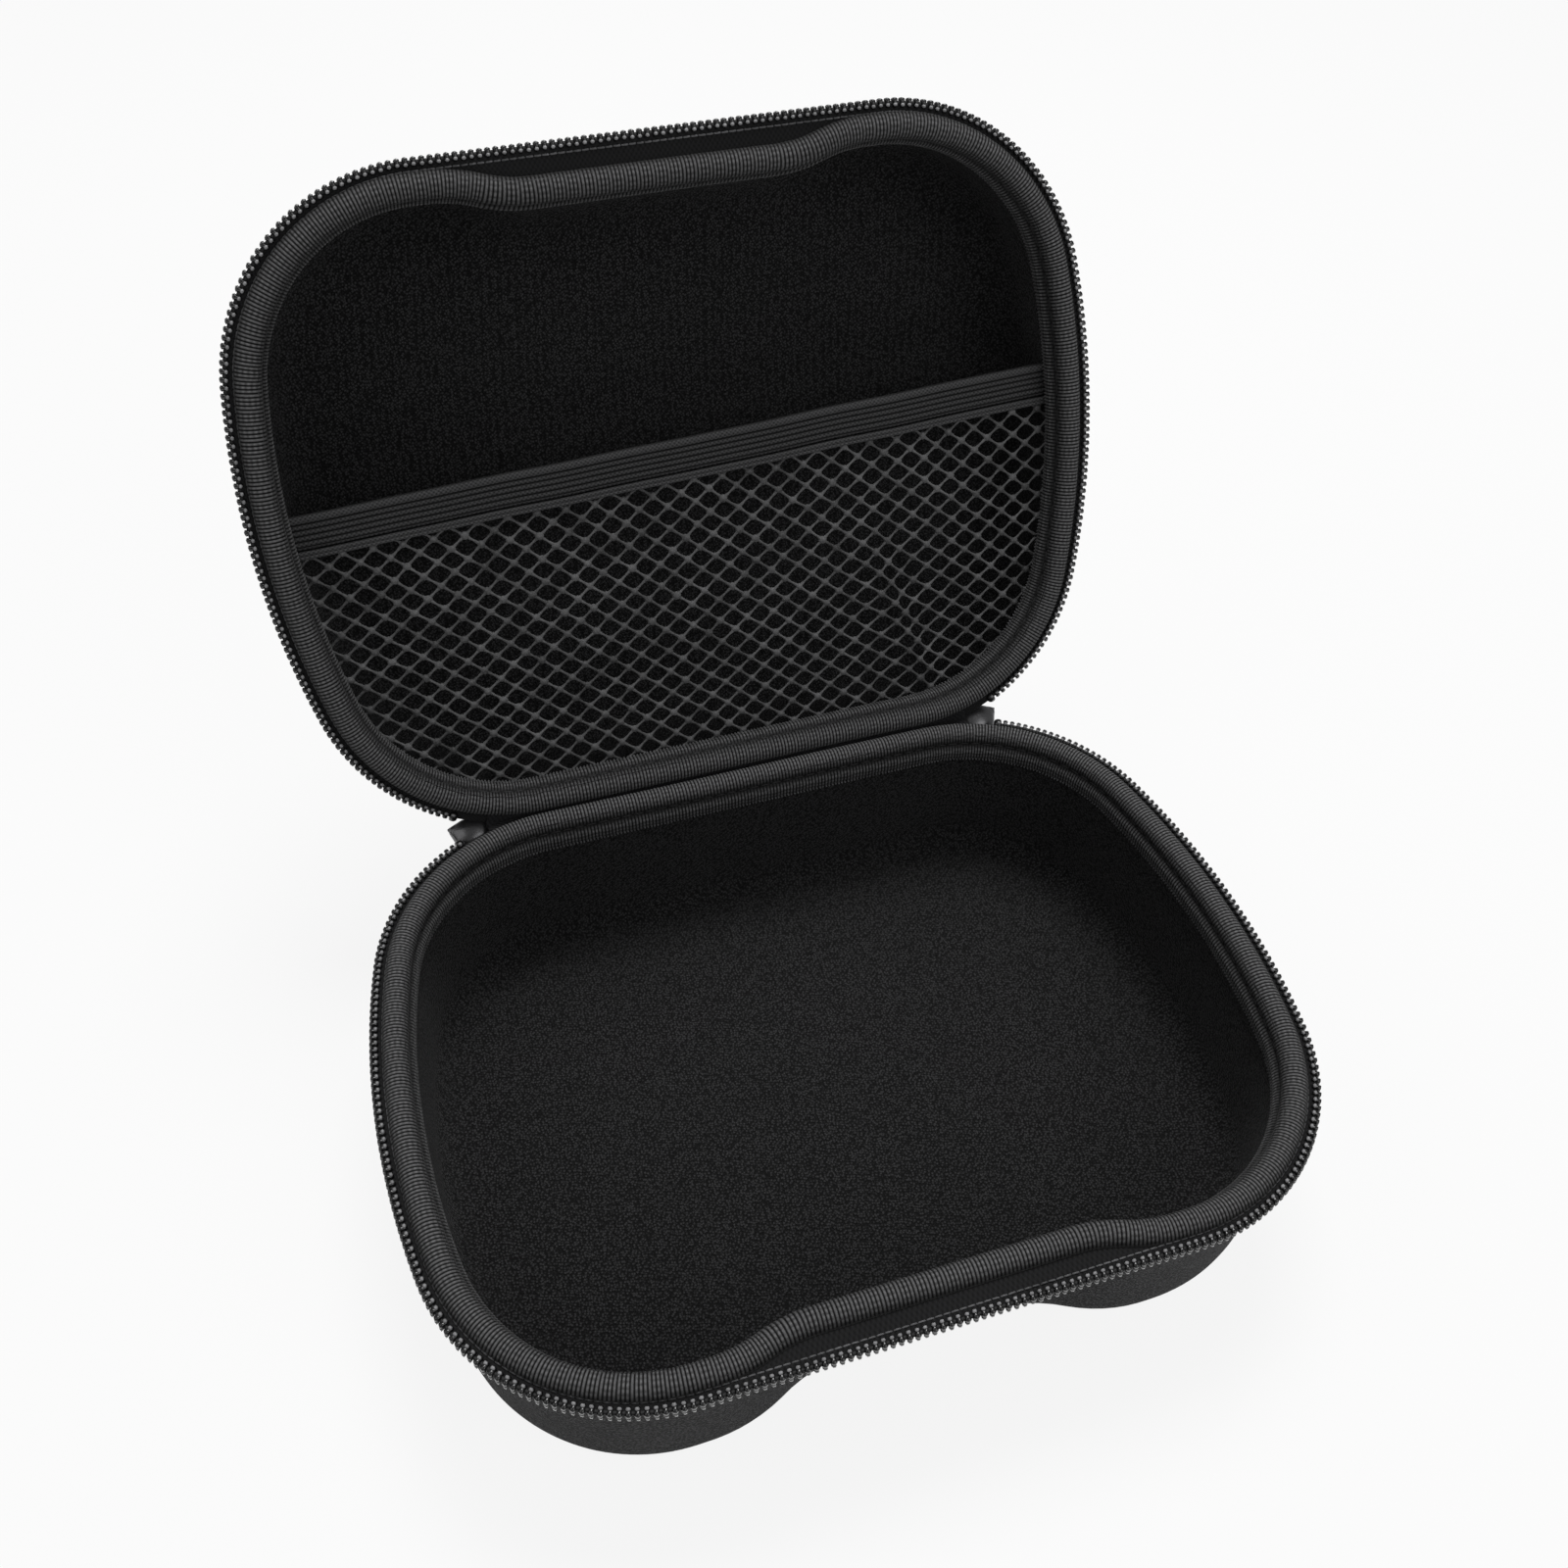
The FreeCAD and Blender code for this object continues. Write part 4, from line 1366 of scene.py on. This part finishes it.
@dataclass
class CoilZip:
    """One side of the coil zip: woven tape, nylon coil, its chain stitch and the stops."""

    half: Half
    tape_top: float = 2.6
    tape_t: float = 0.6
    flange_foot: float = 8.6
    seam_drop: float = 7.4
    coil_out: float = 2.8
    coil_w: float = 2.2
    lead: float = 2.0
    pitch: float = 1.6
    leaf_turn: float = 12.0

    @property
    def level(self) -> float:
        """Drop of the middle of the coil below the rim plane."""
        return self.tape_top + self.tape_t / 2.0

    @staticmethod
    def tooth() -> Draft:
        """One turn of the coil: upper leg, bulged head and lower leg.

        Returns:
            The tooth as a draft.
        """
        leg = [(-0.14, -1.00, 0.50), (-0.12, -0.45, 0.66), (-0.05, 0.10, 0.66)]
        leg += [(0.0, 0.56, 0.60), (0.0, 0.64, 0.30)]
        line = leg + [(0.0, 0.36, 0.0)] + [(-x, y, -z) for x, y, z in leg[::-1]]
        radii = [0.36, 0.42, 0.50, 0.64, 0.46]
        draft = Draft()
        draft.add_tube(np.array(line), np.array(radii + [0.30] + radii[::-1]), 6, 0.66)
        return draft

    def coil(self) -> None:
        """Makes the coil, the beads of its sewing, coloured light as a painted highlight on each tooth, the
        core cord and the chain stitch.
        """
        name = self.half.value
        track = CASE.plan.track(1200, waist=0.0, start=CASE.plan.zip_start - self.lead)
        middle = self.coil_w / 2.0 - self.coil_out
        path = track.lifted(middle, -self.level)
        nodes = (f"{name}_zipper_coil",)
        teeth = Row(self.half, "coil_teeth", self.tooth(), FINISH.coil, self.pitch, "zipper_coil", nodes)
        teeth.lay(path, turn_play=0.03, size_play=0.02, seed=1)
        bead = Draft()
        arch = [(-0.34, -0.5, 0.86), (-0.2, -0.5, 1.06), (0.2, -0.5, 1.06), (0.34, -0.5, 0.86)]
        bead.add_tube(np.array(arch), np.array([0.14, 0.34, 0.34, 0.14]), 6)
        # Each bead sits on a tooth's crown, and its light colour is partly a painted highlight.
        Row(self.half, "coil_stitches", bead, FINISH.coil_thread, self.pitch, "zipper_tape").lay(path, seed=1)
        core = Draft()
        line = track.lifted(middle + 0.15, -self.level)[::3]
        core.add_tube(line, np.full(len(line), 0.42), 8)
        cord = core.build(f"{name}_coil_core")
        finish_piece(cord, self.half, FINISH.dark_thread, "zipper_tape", agree=False)
        stitch = capsule(1.5, 0.42, 0.34)
        chain = Row(self.half, "coil_chain_stitch", stitch, FINISH.thread, self.pitch, "zipper_tape")
        chain.lay(track.lifted(0.1, -self.tape_top + 0.10), turn_play=0.05, seed=12)

    def add_strip(self, draft: Draft, track: Track, lines: list[np.ndarray]) -> None:
        """Adds a strip of tape to a draft.

        Args:
            draft: the draft.
            track: stations along the strip.
            lines: the lengthwise lines round its section.
        """
        rows = np.stack(lines, 1)
        widths = run_length(rows[0])
        draft.add_loft(rows, track.along * MM, np.append(widths, widths[-1] + self.tape_t) * MM)

    def leaf(self, draft: Draft) -> None:
        """Adds the woven leaf that reaches from the wall out to the coil.

        Args:
            draft: the draft of the tape.
        """
        plan = CASE.plan
        outer = plan.track(520, waist=0.0, start=plan.past_back(self.leaf_turn))
        to_end = np.minimum(outer.along, outer.length - outer.along) - plan.zip_start
        lip = np.interp(to_end, [-1.5, 1.0], [2.0 if self.half is Half.LID else 0.9, 1.9])
        rim = plan.track(4000).at
        rim = rim[(rim[:, 1] < 0.0) & (np.abs(rim[:, 0]) < plan.front_half)]
        rim = rim[np.argsort(rim[:, 0])]
        dip = np.interp(outer.at[:, 0], rim[:, 0], rim[:, 1]) + plan.back_y
        dip = np.where(outer.out[:, 1] < -0.99999, dip, 0.0)
        wave = 0.10 * soft_wave(outer.lifted(0.0, 0.0), 26.0, 8)
        reach = CASE.wall(0.0, self.tape_top) + 0.25
        top = []
        for share in np.linspace(0.0, 1.0, 9):
            height = -self.tape_top + wave * math.sin(math.pi * share)
            top.append(outer.lifted(share * (reach + dip + lip) - lip, height))
        low = [line - np.array([0.0, 0.0, self.tape_t - 0.05]) for line in top[::-1]]
        self.add_strip(draft, outer, top + low)

    def tape(self) -> None:
        """Makes the leaf, the flange sewn down the wall and the seam on it."""
        draft = Draft()
        self.leaf(draft)
        hang = CASE.plan.track(520, start=CASE.plan.zip_start)
        head, foot = self.tape_top + 0.5, self.flange_foot
        section = [(CASE.wall(-0.52, drop), drop) for drop in np.linspace(head, foot, 6)]
        section += [(CASE.wall(0.02, drop), drop) for drop in np.linspace(foot, head, 4)]
        self.add_strip(draft, hang, [hang.lifted(inset, -drop) for inset, drop in section])
        name = self.half.value
        obj = draft.build(f"{name}_woven_tape")
        finish_piece(obj, self.half, FINISH.tape, "zipper_tape", f"{name}_zipper_tape")
        seam = Row(self.half, "tape_seam", capsule(2.2, 0.36, 0.34), FINISH.dark_thread, 2.7, "zipper_tape")
        track = CASE.plan.track(1200, start=CASE.plan.zip_start)
        seam.lay(track.lifted(CASE.wall(-0.6, self.seam_drop), -self.seam_drop), turn_play=0.03, seed=15)

    def stops(self) -> None:
        """Makes the moulded stop over each end of the coil, rounded where it is pinched on."""
        draft = Draft()
        length = CASE.plan.length(0.0)
        steps = np.array([-1.15, -0.95, -0.5, 0.0, 0.45, 0.6])
        first = CASE.plan.zip_start - self.lead
        for run in (first + steps, length - first - steps):
            at, out = CASE.plan.walk(run, 0.0)
            spots = at + out * (self.coil_out - self.coil_w / 2.0)
            line = np.column_stack([spots, np.full(len(run), -self.level)])
            draft.add_tube(line, np.array([0.6, 1.0, 1.3, 1.35, 1.2, 0.8]), 10, 0.95)
        name = self.half.value
        obj = draft.build(f"{name}_moulded_stops")
        finish_piece(obj, self.half, FINISH.coil, "zipper_stop", f"{name}_zipper_stops")

    def build(self) -> None:
        """Makes the tape, the coil with its stitches, and the stops."""
        self.tape()
        self.coil()
        self.stops()


# Net pocket in the lid


@dataclass
class NetPocket:
    """Knotted net under a ribbed elastic band with a narrow double hem."""

    level: float = 9.0
    tilt: float = math.tan(math.radians(1.85))
    band_top: float = -8.3
    band_foot: float = -1.0
    hem_top: float = -0.8
    hem_foot: float = 1.1
    bow: float = 0.7
    step_one: tuple[float, float] = (3.11, 2.66)
    step_two: tuple[float, float] = (3.33, -2.43)
    first_knot: tuple[float, float] = (0.6, 1.2)
    knot_play: float = 0.16
    shortest: float = 0.12
    gather_start: tuple[float, float] = (43.0, 29.0)
    gather_end: tuple[float, float] = (52.0, 57.0)
    strip_stations: int = 240

    def half_width(self, y: np.ndarray) -> np.ndarray:
        """Half width of the hollow at the level of the pocket.

        Args:
            y: places from the middle of the plan to the back.

        Returns:
            The half width at each.
        """
        inset = CASE.wall(CASE.layers, self.level) + 0.12
        ring = CASE.plan.track(2400).lifted(inset, 0.0)
        right = ring[(ring[:, 0] > 0.0)]
        right = right[np.argsort(right[:, 1])]
        return np.interp(y, right[:, 1], right[:, 0])

    def inside(self, p: np.ndarray) -> bool:
        """Whether a point of the net lies within the hollow and below the hem.

        Args:
            p: the point.

        Returns:
            True inside.
        """
        plan = CASE.plan
        x, y = abs(p[0]), p[1]
        inset = CASE.wall(CASE.layers, self.level) + 0.2
        if y < self.hem_foot - 0.7 - self.tilt * p[0] or y > plan.back_y - inset:
            return False
        corner = plan.back_y - plan.back_corner_r
        if y > corner and x > plan.back_half:
            return math.hypot(x - plan.back_half, y - corner) < plan.back_corner_r - inset
        return x < float(self.half_width(np.array([y]))[0])

    def cut(self, a: np.ndarray, b: np.ndarray) -> float:
        """Share of a thread from a point inside to one outside at which it meets the edge.

        Args:
            a: the point inside.
            b: the point outside.

        Returns:
            A share from 0 to 1.
        """
        near, far = 0.0, 1.0
        for _ in range(12):
            middle = (near + far) / 2.0
            if self.inside(a + (b - a) * middle):
                near = middle
            else:
                far = middle
        return near

    def drape(self, p: np.ndarray) -> np.ndarray:
        """Place of a point of the flat net once it is sewn in, with its gather.

        Args:
            p: points of the flat net as x and y.

        Returns:
            Points in the lid's own frame, rim plane at height 0.
        """
        start, end = np.array(self.gather_start), np.array(self.gather_end)
        span = np.linalg.norm(end - start)
        way = (end - start) / span
        side = np.array([way[1], -way[0]])
        run, off = ((p - start) @ way) / span, (p - start) @ side
        ends = np.clip((run + 0.35) / 0.5, 0.0, 1.0) * np.clip((1.25 - run) / 0.35, 0.0, 1.0)
        pull = -1.7 * (off / 4.2) * np.exp(-((off / 5.2) ** 2)) * ends
        ridge = 1.1 * np.exp(-((off / 4.2) ** 2)) * ends
        spread = np.clip(1.0 - (np.abs(p[:, 0]) / 88.0) ** 2, 0.0, 1.0)
        depth = np.clip((p[:, 1] + 2.0) / 20.0, 0.0, 1.0) * np.clip((66.0 - p[:, 1]) / 22.0, 0.0, 1.0)
        belly = self.bow * spread * (0.6 + 1.4 * depth)
        belly += 0.35 * soft_wave(np.column_stack([p, np.zeros(len(p))]), 24.0, 31) * depth
        return np.column_stack([p + side[None, :] * pull[:, None], -self.level + belly + ridge])

    def net(self) -> bpy.types.Object:
        """The net as threads along a lattice, baked to one mesh.

        Returns:
            The net in the lid's own frame.
        """
        one, two = np.array(self.step_one), np.array(self.step_two)
        dice = np.random.RandomState(17)
        spots: dict[tuple[int, int], np.ndarray] = {}
        for i in range(-40, 41):
            for j in range(-40, 41):
                p = one * i + two * j + np.array(self.first_knot)
                p = p + dice.uniform(-self.knot_play, self.knot_play, 2)
                if abs(p[0]) < 95.0 and -12.0 < p[1] < 75.0:
                    spots[(i, j)] = p
        knots = [key for key, p in spots.items() if self.inside(p)]
        number = {key: k for k, key in enumerate(knots)}
        points = [spots[key] for key in knots]
        thick = [1.75] * len(knots)
        edges: list[tuple[int, int]] = []
        for i, j in spots:
            for other in ((i + 1, j), (i, j + 1)):
                if other not in spots or not ((i, j) in number or other in number):
                    continue
                a, b = ((i, j), other) if (i, j) in number else (other, (i, j))
                whole = b in number
                reach = 1.0 if whole else self.cut(spots[a], spots[b])
                if reach < self.shortest:
                    continue
                before = number[a]
                for share, size in ((0.2, 1.4), (0.5, 0.82), (0.8, 1.4)) + (() if whole else ((1.0, 1.2),)):
                    points.append(spots[a] + (spots[b] - spots[a]) * share * reach)
                    thick.append(size)
                    edges.append((before, len(points) - 1))
                    before = len(points) - 1
                if whole:
                    edges.append((before, number[b]))
        mesh = bpy.data.meshes.new("pocket_knotted_net")
        mesh.from_pydata((self.drape(np.array(points)) * MM).tolist(), edges, [])
        mark_points(mesh, "thickness", np.array(thick))
        mark_points(mesh, "knot", np.arange(len(points)) < len(knots))
        obj = put("pocket_knotted_net", mesh)
        TREES.bake(obj, TREES.net, thread_sides=6, material=FINISH.net, seed=3)
        return obj

    def strip(
        self, name: str, top: float, foot: float, ridges: Sequence[tuple[float, float, float]], thick: float
    ) -> bpy.types.Object:
        """A ribbed strip across the lid, with painted shade in the hollows between its ribs.

        Args:
            name: name of the piece.
            top: upper edge at the middle of the lid.
            foot: lower edge at the middle of the lid.
            ridges: middle, half width and rise of each rib, from the upper edge.
            thick: thickness of the strip between its ribs.

        Returns:
            The piece in the lid's own frame.
        """
        width = foot - top
        across = np.linspace(0.0, width, int(width / 0.11) + 1)
        rise = np.zeros(len(across))
        for middle, half, high in ridges:
            dome = np.clip(1.0 - ((across - middle) / half) ** 2, 0.0, 1.0)
            rise = np.maximum(rise, high * np.sqrt(dome))
        edge = np.minimum(across, width - across)
        face = thick * np.clip(edge / 0.25, 0.0, 1.0) ** 0.5 + rise
        back = across[::-4]
        count = self.strip_stations
        shares = np.linspace(-1.0, 1.0, count)
        lines = []
        for offset, high in zip(np.append(across, back), np.append(face, np.zeros(len(back)))):
            y = top + offset
            x = shares * (float(self.half_width(np.array([y]))[0]) - 0.05)
            sway = 0.12 * soft_wave(np.column_stack([x, x * 0.0, x * 0.0]), 30.0, 41)
            height = -self.level - 0.55 + self.bow * (1.0 - shares**2) + high
            lines.append(np.column_stack([x, y - self.tilt * x + sway, height]))
        grid = np.stack(lines, 1)
        v = run_length(grid[count // 2])
        # Painted shade: each point is lighter by how far its rib rises and darker in the hollows between the
        # ribs; the hidden back gets a flat middle value.
        tones = np.append(np.clip(0.3 + 0.75 * rise / 0.3, 0.0, 1.0), np.full(len(back), 0.5))
        draft = Draft()
        draft.add_loft(grid, (shares + 1.0) * 0.087, np.append(v, v[-1]) * MM, rib_shade=np.tile(tones, count))
        return draft.build(name)

    def build(self) -> None:
        """Makes the net, the band and the hem and sets them in the lid."""
        net = self.net()
        ribs = [(0.9, 0.85, 0.42)] + [(2.45 + 1.2 * k, 0.5, 0.26) for k in range(4)] + [(6.95, 0.3, 0.2)]
        band = self.strip("pocket_ribbed_elastic", self.band_top, self.band_foot, ribs, 0.75)
        ribs = [(0.5, 0.48, 0.4), (1.4, 0.48, 0.4)]
        hem = self.strip("pocket_double_hem", self.hem_top, self.hem_foot, ribs, 0.95)
        finish_piece(net, Half.LID, FINISH.net, "net", "pocket_net", agree=False)
        finish_piece(band, Half.LID, FINISH.elastic, "elastic", "pocket_elastic_band")
        finish_piece(hem, Half.LID, FINISH.elastic, "elastic", "pocket_hem")


# Hinge and sliders


@dataclass
class HingeStrip:
    """Cloth strip behind the two rims that bends where the lid turns."""

    half_width: float = 56.2
    end_turn: float = 17.0
    thick: float = 0.7
    head: float = 2.3
    foot: float = 12.6
    end_foot: float = 4.4
    seam_drop: float = 10.9
    stations: int = 130

    @property
    def end(self) -> float:
        """Distance along the rim from the back centre to the end of the strip."""
        return CASE.plan.past_back(self.end_turn)

    def line(self, half: Half, run: np.ndarray, inset: np.ndarray, drop: np.ndarray) -> np.ndarray:
        """Points of one lengthwise line of the strip where its half stands.

        Args:
            half: the half that the line is sewn to.
            run: distances along the rim from the back centre, negative to the left.
            inset: distance inwards from the rim plan at each.
            drop: drop below the rim plane at each.

        Returns:
            One point for each distance.
        """
        at, out = CASE.plan.walk(np.abs(run))
        flat = at - out * inset[:, None]
        flat[:, 0] *= np.where(run < 0.0, -1.0, 1.0)
        return CASE.seat(np.column_stack([flat, -drop]), half)

    def lines(self, run: np.ndarray) -> np.ndarray:
        """Lengthwise lines of the strip from its foot on the base to its foot on the lid.

        Args:
            run: distances along the rim from the back centre, negative to the left.

        Returns:
            A grid of points, stations by lines.
        """
        head = self.head
        past = np.clip((np.abs(run) - self.half_width + 0.4) / 1.2, 0.0, 1.0)
        scale = 1.0 + (past * past * (3.0 - 2.0 * past)) * ((self.end_foot - head) / (self.foot - head) - 1.0)
        sides: list[list[np.ndarray]] = []
        for half in Half:
            own = []
            for deep in (self.foot, 11.0, 9.0, 7.0, 5.4, 4.4, 3.5):
                drop = head + (deep - head) * scale
                own.append(self.line(half, run, CASE.wall_inset - self.thick / 2.0 + drop * CASE.draft, drop))
            for inset, deep in ((-0.22, 2.9), (-0.42, head)):
                own.append(self.line(half, run, np.full(len(run), inset), head + (deep - head) * scale))
            sides.append(own)
        reach = np.interp(np.abs(run), [40.0, self.end], [1.8, 3.4])
        fold = sum(self.line(half, run, -reach, np.full(len(run), 2.6)) for half in Half) / 2.0
        return np.stack(sides[0] + [fold] + sides[1][::-1], 1)

    @staticmethod
    def smooth(rows: np.ndarray) -> np.ndarray:
        """Grid with three points in place of each step of the section, rounded.

        Args:
            rows: grid of points, stations by lines.

        Returns:
            The finer grid.
        """
        n = rows.shape[1]
        fine = np.linspace(0, n - 1, 3 * (n - 1) + 1)
        out = np.array([[np.interp(fine, np.arange(n), row[:, k]) for k in range(3)] for row in rows])
        out = out.transpose(0, 2, 1)
        for _ in range(3):
            out[:, 1:-1] = 0.25 * out[:, :-2] + 0.5 * out[:, 1:-1] + 0.25 * out[:, 2:]
        return out

    def build(self) -> None:
        """Makes the strip at rest between the two halves."""
        run = np.linspace(-self.end, self.end, self.stations)
        fine = self.smooth(self.lines(run))
        taper = np.full(fine.shape[1], self.thick / 2.0)
        taper[[0, -1]] = 0.12
        lift = rows_normal(fine, False) * taper[None, :, None]
        rows = np.concatenate([fine + lift, (fine - lift)[:, ::-1]], 1)
        widths = run_length(rows[self.stations // 2])
        draft = Draft()
        draft.add_loft(rows, (run + self.end) * MM, np.append(widths, widths[-1] + 0.3) * MM)
        obj = draft.build("hinge_cloth_strip")
        agree_normals(obj.data)
        face_outwards(obj.data)
        dress(obj, FINISH.hinge)
        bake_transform(obj)
        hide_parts("hinge_strip_base_leaf", "hinge_strip_lid_leaf")
        LOG.info("hinge_cloth_strip: %d faces between the halves", len(obj.data.polygons))
        self.sew()

    def sew(self) -> None:
        """Makes the row of stitches that holds each edge of the strip."""
        run = np.linspace(1.5 - self.half_width, self.half_width - 1.5, 120)
        inset = np.full(len(run), CASE.wall(-self.thick - 0.02, self.seam_drop))
        drop = np.full(len(run), self.seam_drop)
        for half in Half:
            stitch = capsule(2.2, 0.36, 0.34)
            seam = Row(half, "hinge_seam", stitch, FINISH.dark_thread, 2.7, "hinge_cloth", seated=True)
            seam.lay(self.line(half, run, inset, drop), turn_play=0.03, seed=19)


@dataclass
class SliderSet:
    """The two cast sliders and their pull tabs."""

    sides: tuple[str, str] = ("left", "right")
    cell: float = 0.17
    passes: int = 30
    dome: float = 0.075
    crown: float = 1.6

    @property
    def up(self) -> np.ndarray:
        """Way the upper plate faces, half way between the two open rims."""
        lean = math.radians((180.0 - CASE.lid_open) / 2.0)
        return np.array([0.0, -math.sin(lean), math.cos(lean)])

    def cast(self, node: str) -> bpy.types.Object:
        """Rounds every edge of a slider body, as a casting comes out of its mould.

        Args:
            node: name of the slider in the frame.

        Returns:
            The rounded body.
        """
        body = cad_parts[node].copy()
        body.data = body.data.copy()
        work = bmesh.new()
        work.from_mesh(body.data)
        bmesh.ops.remove_doubles(work, verts=work.verts, dist=0.002 * MM)
        work.to_mesh(body.data)
        work.free()
        bpy.context.scene.collection.objects.link(body)
        fine = body.modifiers.new("cast", "REMESH")
        fine.mode = "VOXEL"
        fine.voxel_size = self.cell * MM
        soft = body.modifiers.new("rounded", "SMOOTH")
        soft.factor = 0.5
        soft.iterations = self.passes
        made = bpy.data.meshes.new_from_object(body.evaluated_get(bpy.context.evaluated_depsgraph_get()))
        made.transform(body.matrix_world)
        bpy.data.objects.remove(body)
        points = mesh_points(made)
        rel = (points - (points.min(axis=0) + points.max(axis=0)) / 2.0) / MM
        height = rel @ self.up
        spread = (rel**2).sum(axis=1) - height**2
        sink = np.clip(height / 2.0, 0.0, 1.0) * np.clip(self.dome * spread, 0.0, self.crown)
        made.vertices.foreach_set("co", (points - sink[:, None] * self.up * MM).ravel())
        made.polygons.foreach_set("use_smooth", np.ones(len(made.polygons), bool))
        return put(f"{node}_casting", made)

    def build(self) -> None:
        """Dresses the cast pieces."""
        for side in self.sides:
            body = self.cast(f"slider_{side}")
            dress(body, FINISH.metal)
            hand_over(body, "base_tray", "slider_metal", f"slider_{side}")
            dress(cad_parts[f"pull_{side}"], FINISH.metal)
            LOG.info("pull_%s: cast metal", side)


# Studio


@dataclass
class Studio:
    """White sweep, soft boxes and the camera of the photograph."""

    camera_at: tuple[float, float, float] = (-0.074375, -0.168912, 0.315366)
    forward: tuple[float, float, float] = (0.228384, 0.627386, -0.744465)
    right: tuple[float, float, float] = (0.949340, -0.313054, 0.027414)
    up: tuple[float, float, float] = (0.215858, 0.713011, 0.667099)
    focal_px: float = 1599.2
    frame_px: float = 1600.0
    sensor: float = 36.0
    floor_half: float = 3.0
    floor_z: float = -0.0002
    floor_tone: float = 0.86
    floor_glow: float = 0.87
    sky_light: float = 0.22
    sky_glow: float = 0.72

    @staticmethod
    def seen(bench: Bench, *rays: str) -> bpy.types.NodeSocket:
        """Mask of what any of the named rays sees.

        Args:
            bench: bench of the material or the world.
            rays: outputs of the Light Path node, without the word Ray.

        Returns:
            1 where it is seen.
        """
        path = bench.add("ShaderNodeLightPath")
        mask = path.outputs[f"Is {rays[0]} Ray"]
        for ray in rays[1:]:
            mask = bench.math("MAXIMUM", mask, path.outputs[f"Is {ray} Ray"])
        return mask

    def floor(self) -> None:
        """Makes the pale floor that shows white to the camera and keeps a soft shadow."""
        mesh = bpy.data.meshes.new("studio_floor")
        s, z = self.floor_half, self.floor_z
        mesh.from_pydata([(-s, -s, z), (s, -s, z), (s, s, z), (-s, s, z)], [], [(0, 1, 2, 3)])
        floor = put("studio_floor", mesh)
        paint = Paint("pale floor")
        tone = (self.floor_tone, self.floor_tone, self.floor_tone, 1.0)
        paint.set(paint.shader, {"Base Color": tone, "Roughness": 0.9, "Specular IOR Level": 0.1})
        glow = paint.add("ShaderNodeEmission", {0: WHITE})
        share = paint.times(self.seen(paint, "Camera", "Glossy", "Transmission"), self.floor_glow)
        mixed = paint.add("ShaderNodeMixShader", {0: share, 1: paint.shader, 2: glow})
        paint.feed(paint.tree.nodes["Material Output"].inputs[0], mixed)
        mesh.materials.append(paint.material)

    def sky(self) -> None:
        """Makes the even pale surround, white where the camera sees it."""
        world = bpy.data.worlds.new("studio")
        world.use_nodes = True
        bpy.context.scene.world = world
        bench = Bench(world.node_tree)
        glow = bench.times(self.seen(bench, "Camera", "Transmission"), self.sky_glow)
        bench.set(world.node_tree.nodes["Background"], {0: WHITE, 1: bench.plus(self.sky_light, glow)})

    @staticmethod
    def lamp(name: str, at: tuple[float, float, float], size: float, watts: float) -> None:
        """Sets up one square soft box aimed at the case.

        Args:
            name: name of the lamp.
            at: its place in metres.
            size: length of its side in metres.
            watts: its power.
        """
        data = bpy.data.lights.new(name, "AREA")
        data.size = size
        data.energy = watts
        lamp = put(name, data)
        lamp.location = at
        lamp.rotation_euler = (Vector((0.0, 0.03, 0.06)) - Vector(at)).to_track_quat("-Z", "Y").to_euler()

    def camera(self) -> None:
        """Sets the camera at the place and angle of the photograph."""
        data = bpy.data.cameras.new("photo_camera")
        data.sensor_width = self.sensor
        data.lens = self.focal_px / self.frame_px * self.sensor
        data.clip_start = 0.01
        camera = put("photo_camera", data)
        turn = Matrix((self.right, self.up, -Vector(self.forward))).transposed().to_4x4()
        camera.matrix_world = Matrix.Translation(self.camera_at) @ turn
        bpy.context.scene.camera = camera

    def build(self) -> None:
        """Sets up floor, lights, surround and camera."""
        self.floor()
        self.sky()
        self.lamp("key_soft_box", (0.15, 0.42, 1.1), 0.5, 7.8)
        self.lamp("fill_soft_box", (0.45, -0.75, 0.75), 0.8, 2.9)
        self.lamp("side_soft_box", (-0.8, 0.0, 0.8), 0.7, 1.2)
        self.camera()
        bpy.context.scene.view_settings.view_transform = "Standard"


def main() -> None:
    """Builds every piece in order and notes each in the log."""
    logging.basicConfig(level=logging.INFO, format="%(message)s")
    for half, edge in ((Half.BASE, 10.0), (Half.LID, 13.0)):
        PaddedShell(half, edge).build()
        RimBinding(half).build()
        CoilZip(half).build()
    NetPocket().build()
    HingeStrip().build()
    SliderSet().build()
    Studio().build()


if __name__ == "__main__":
    main()
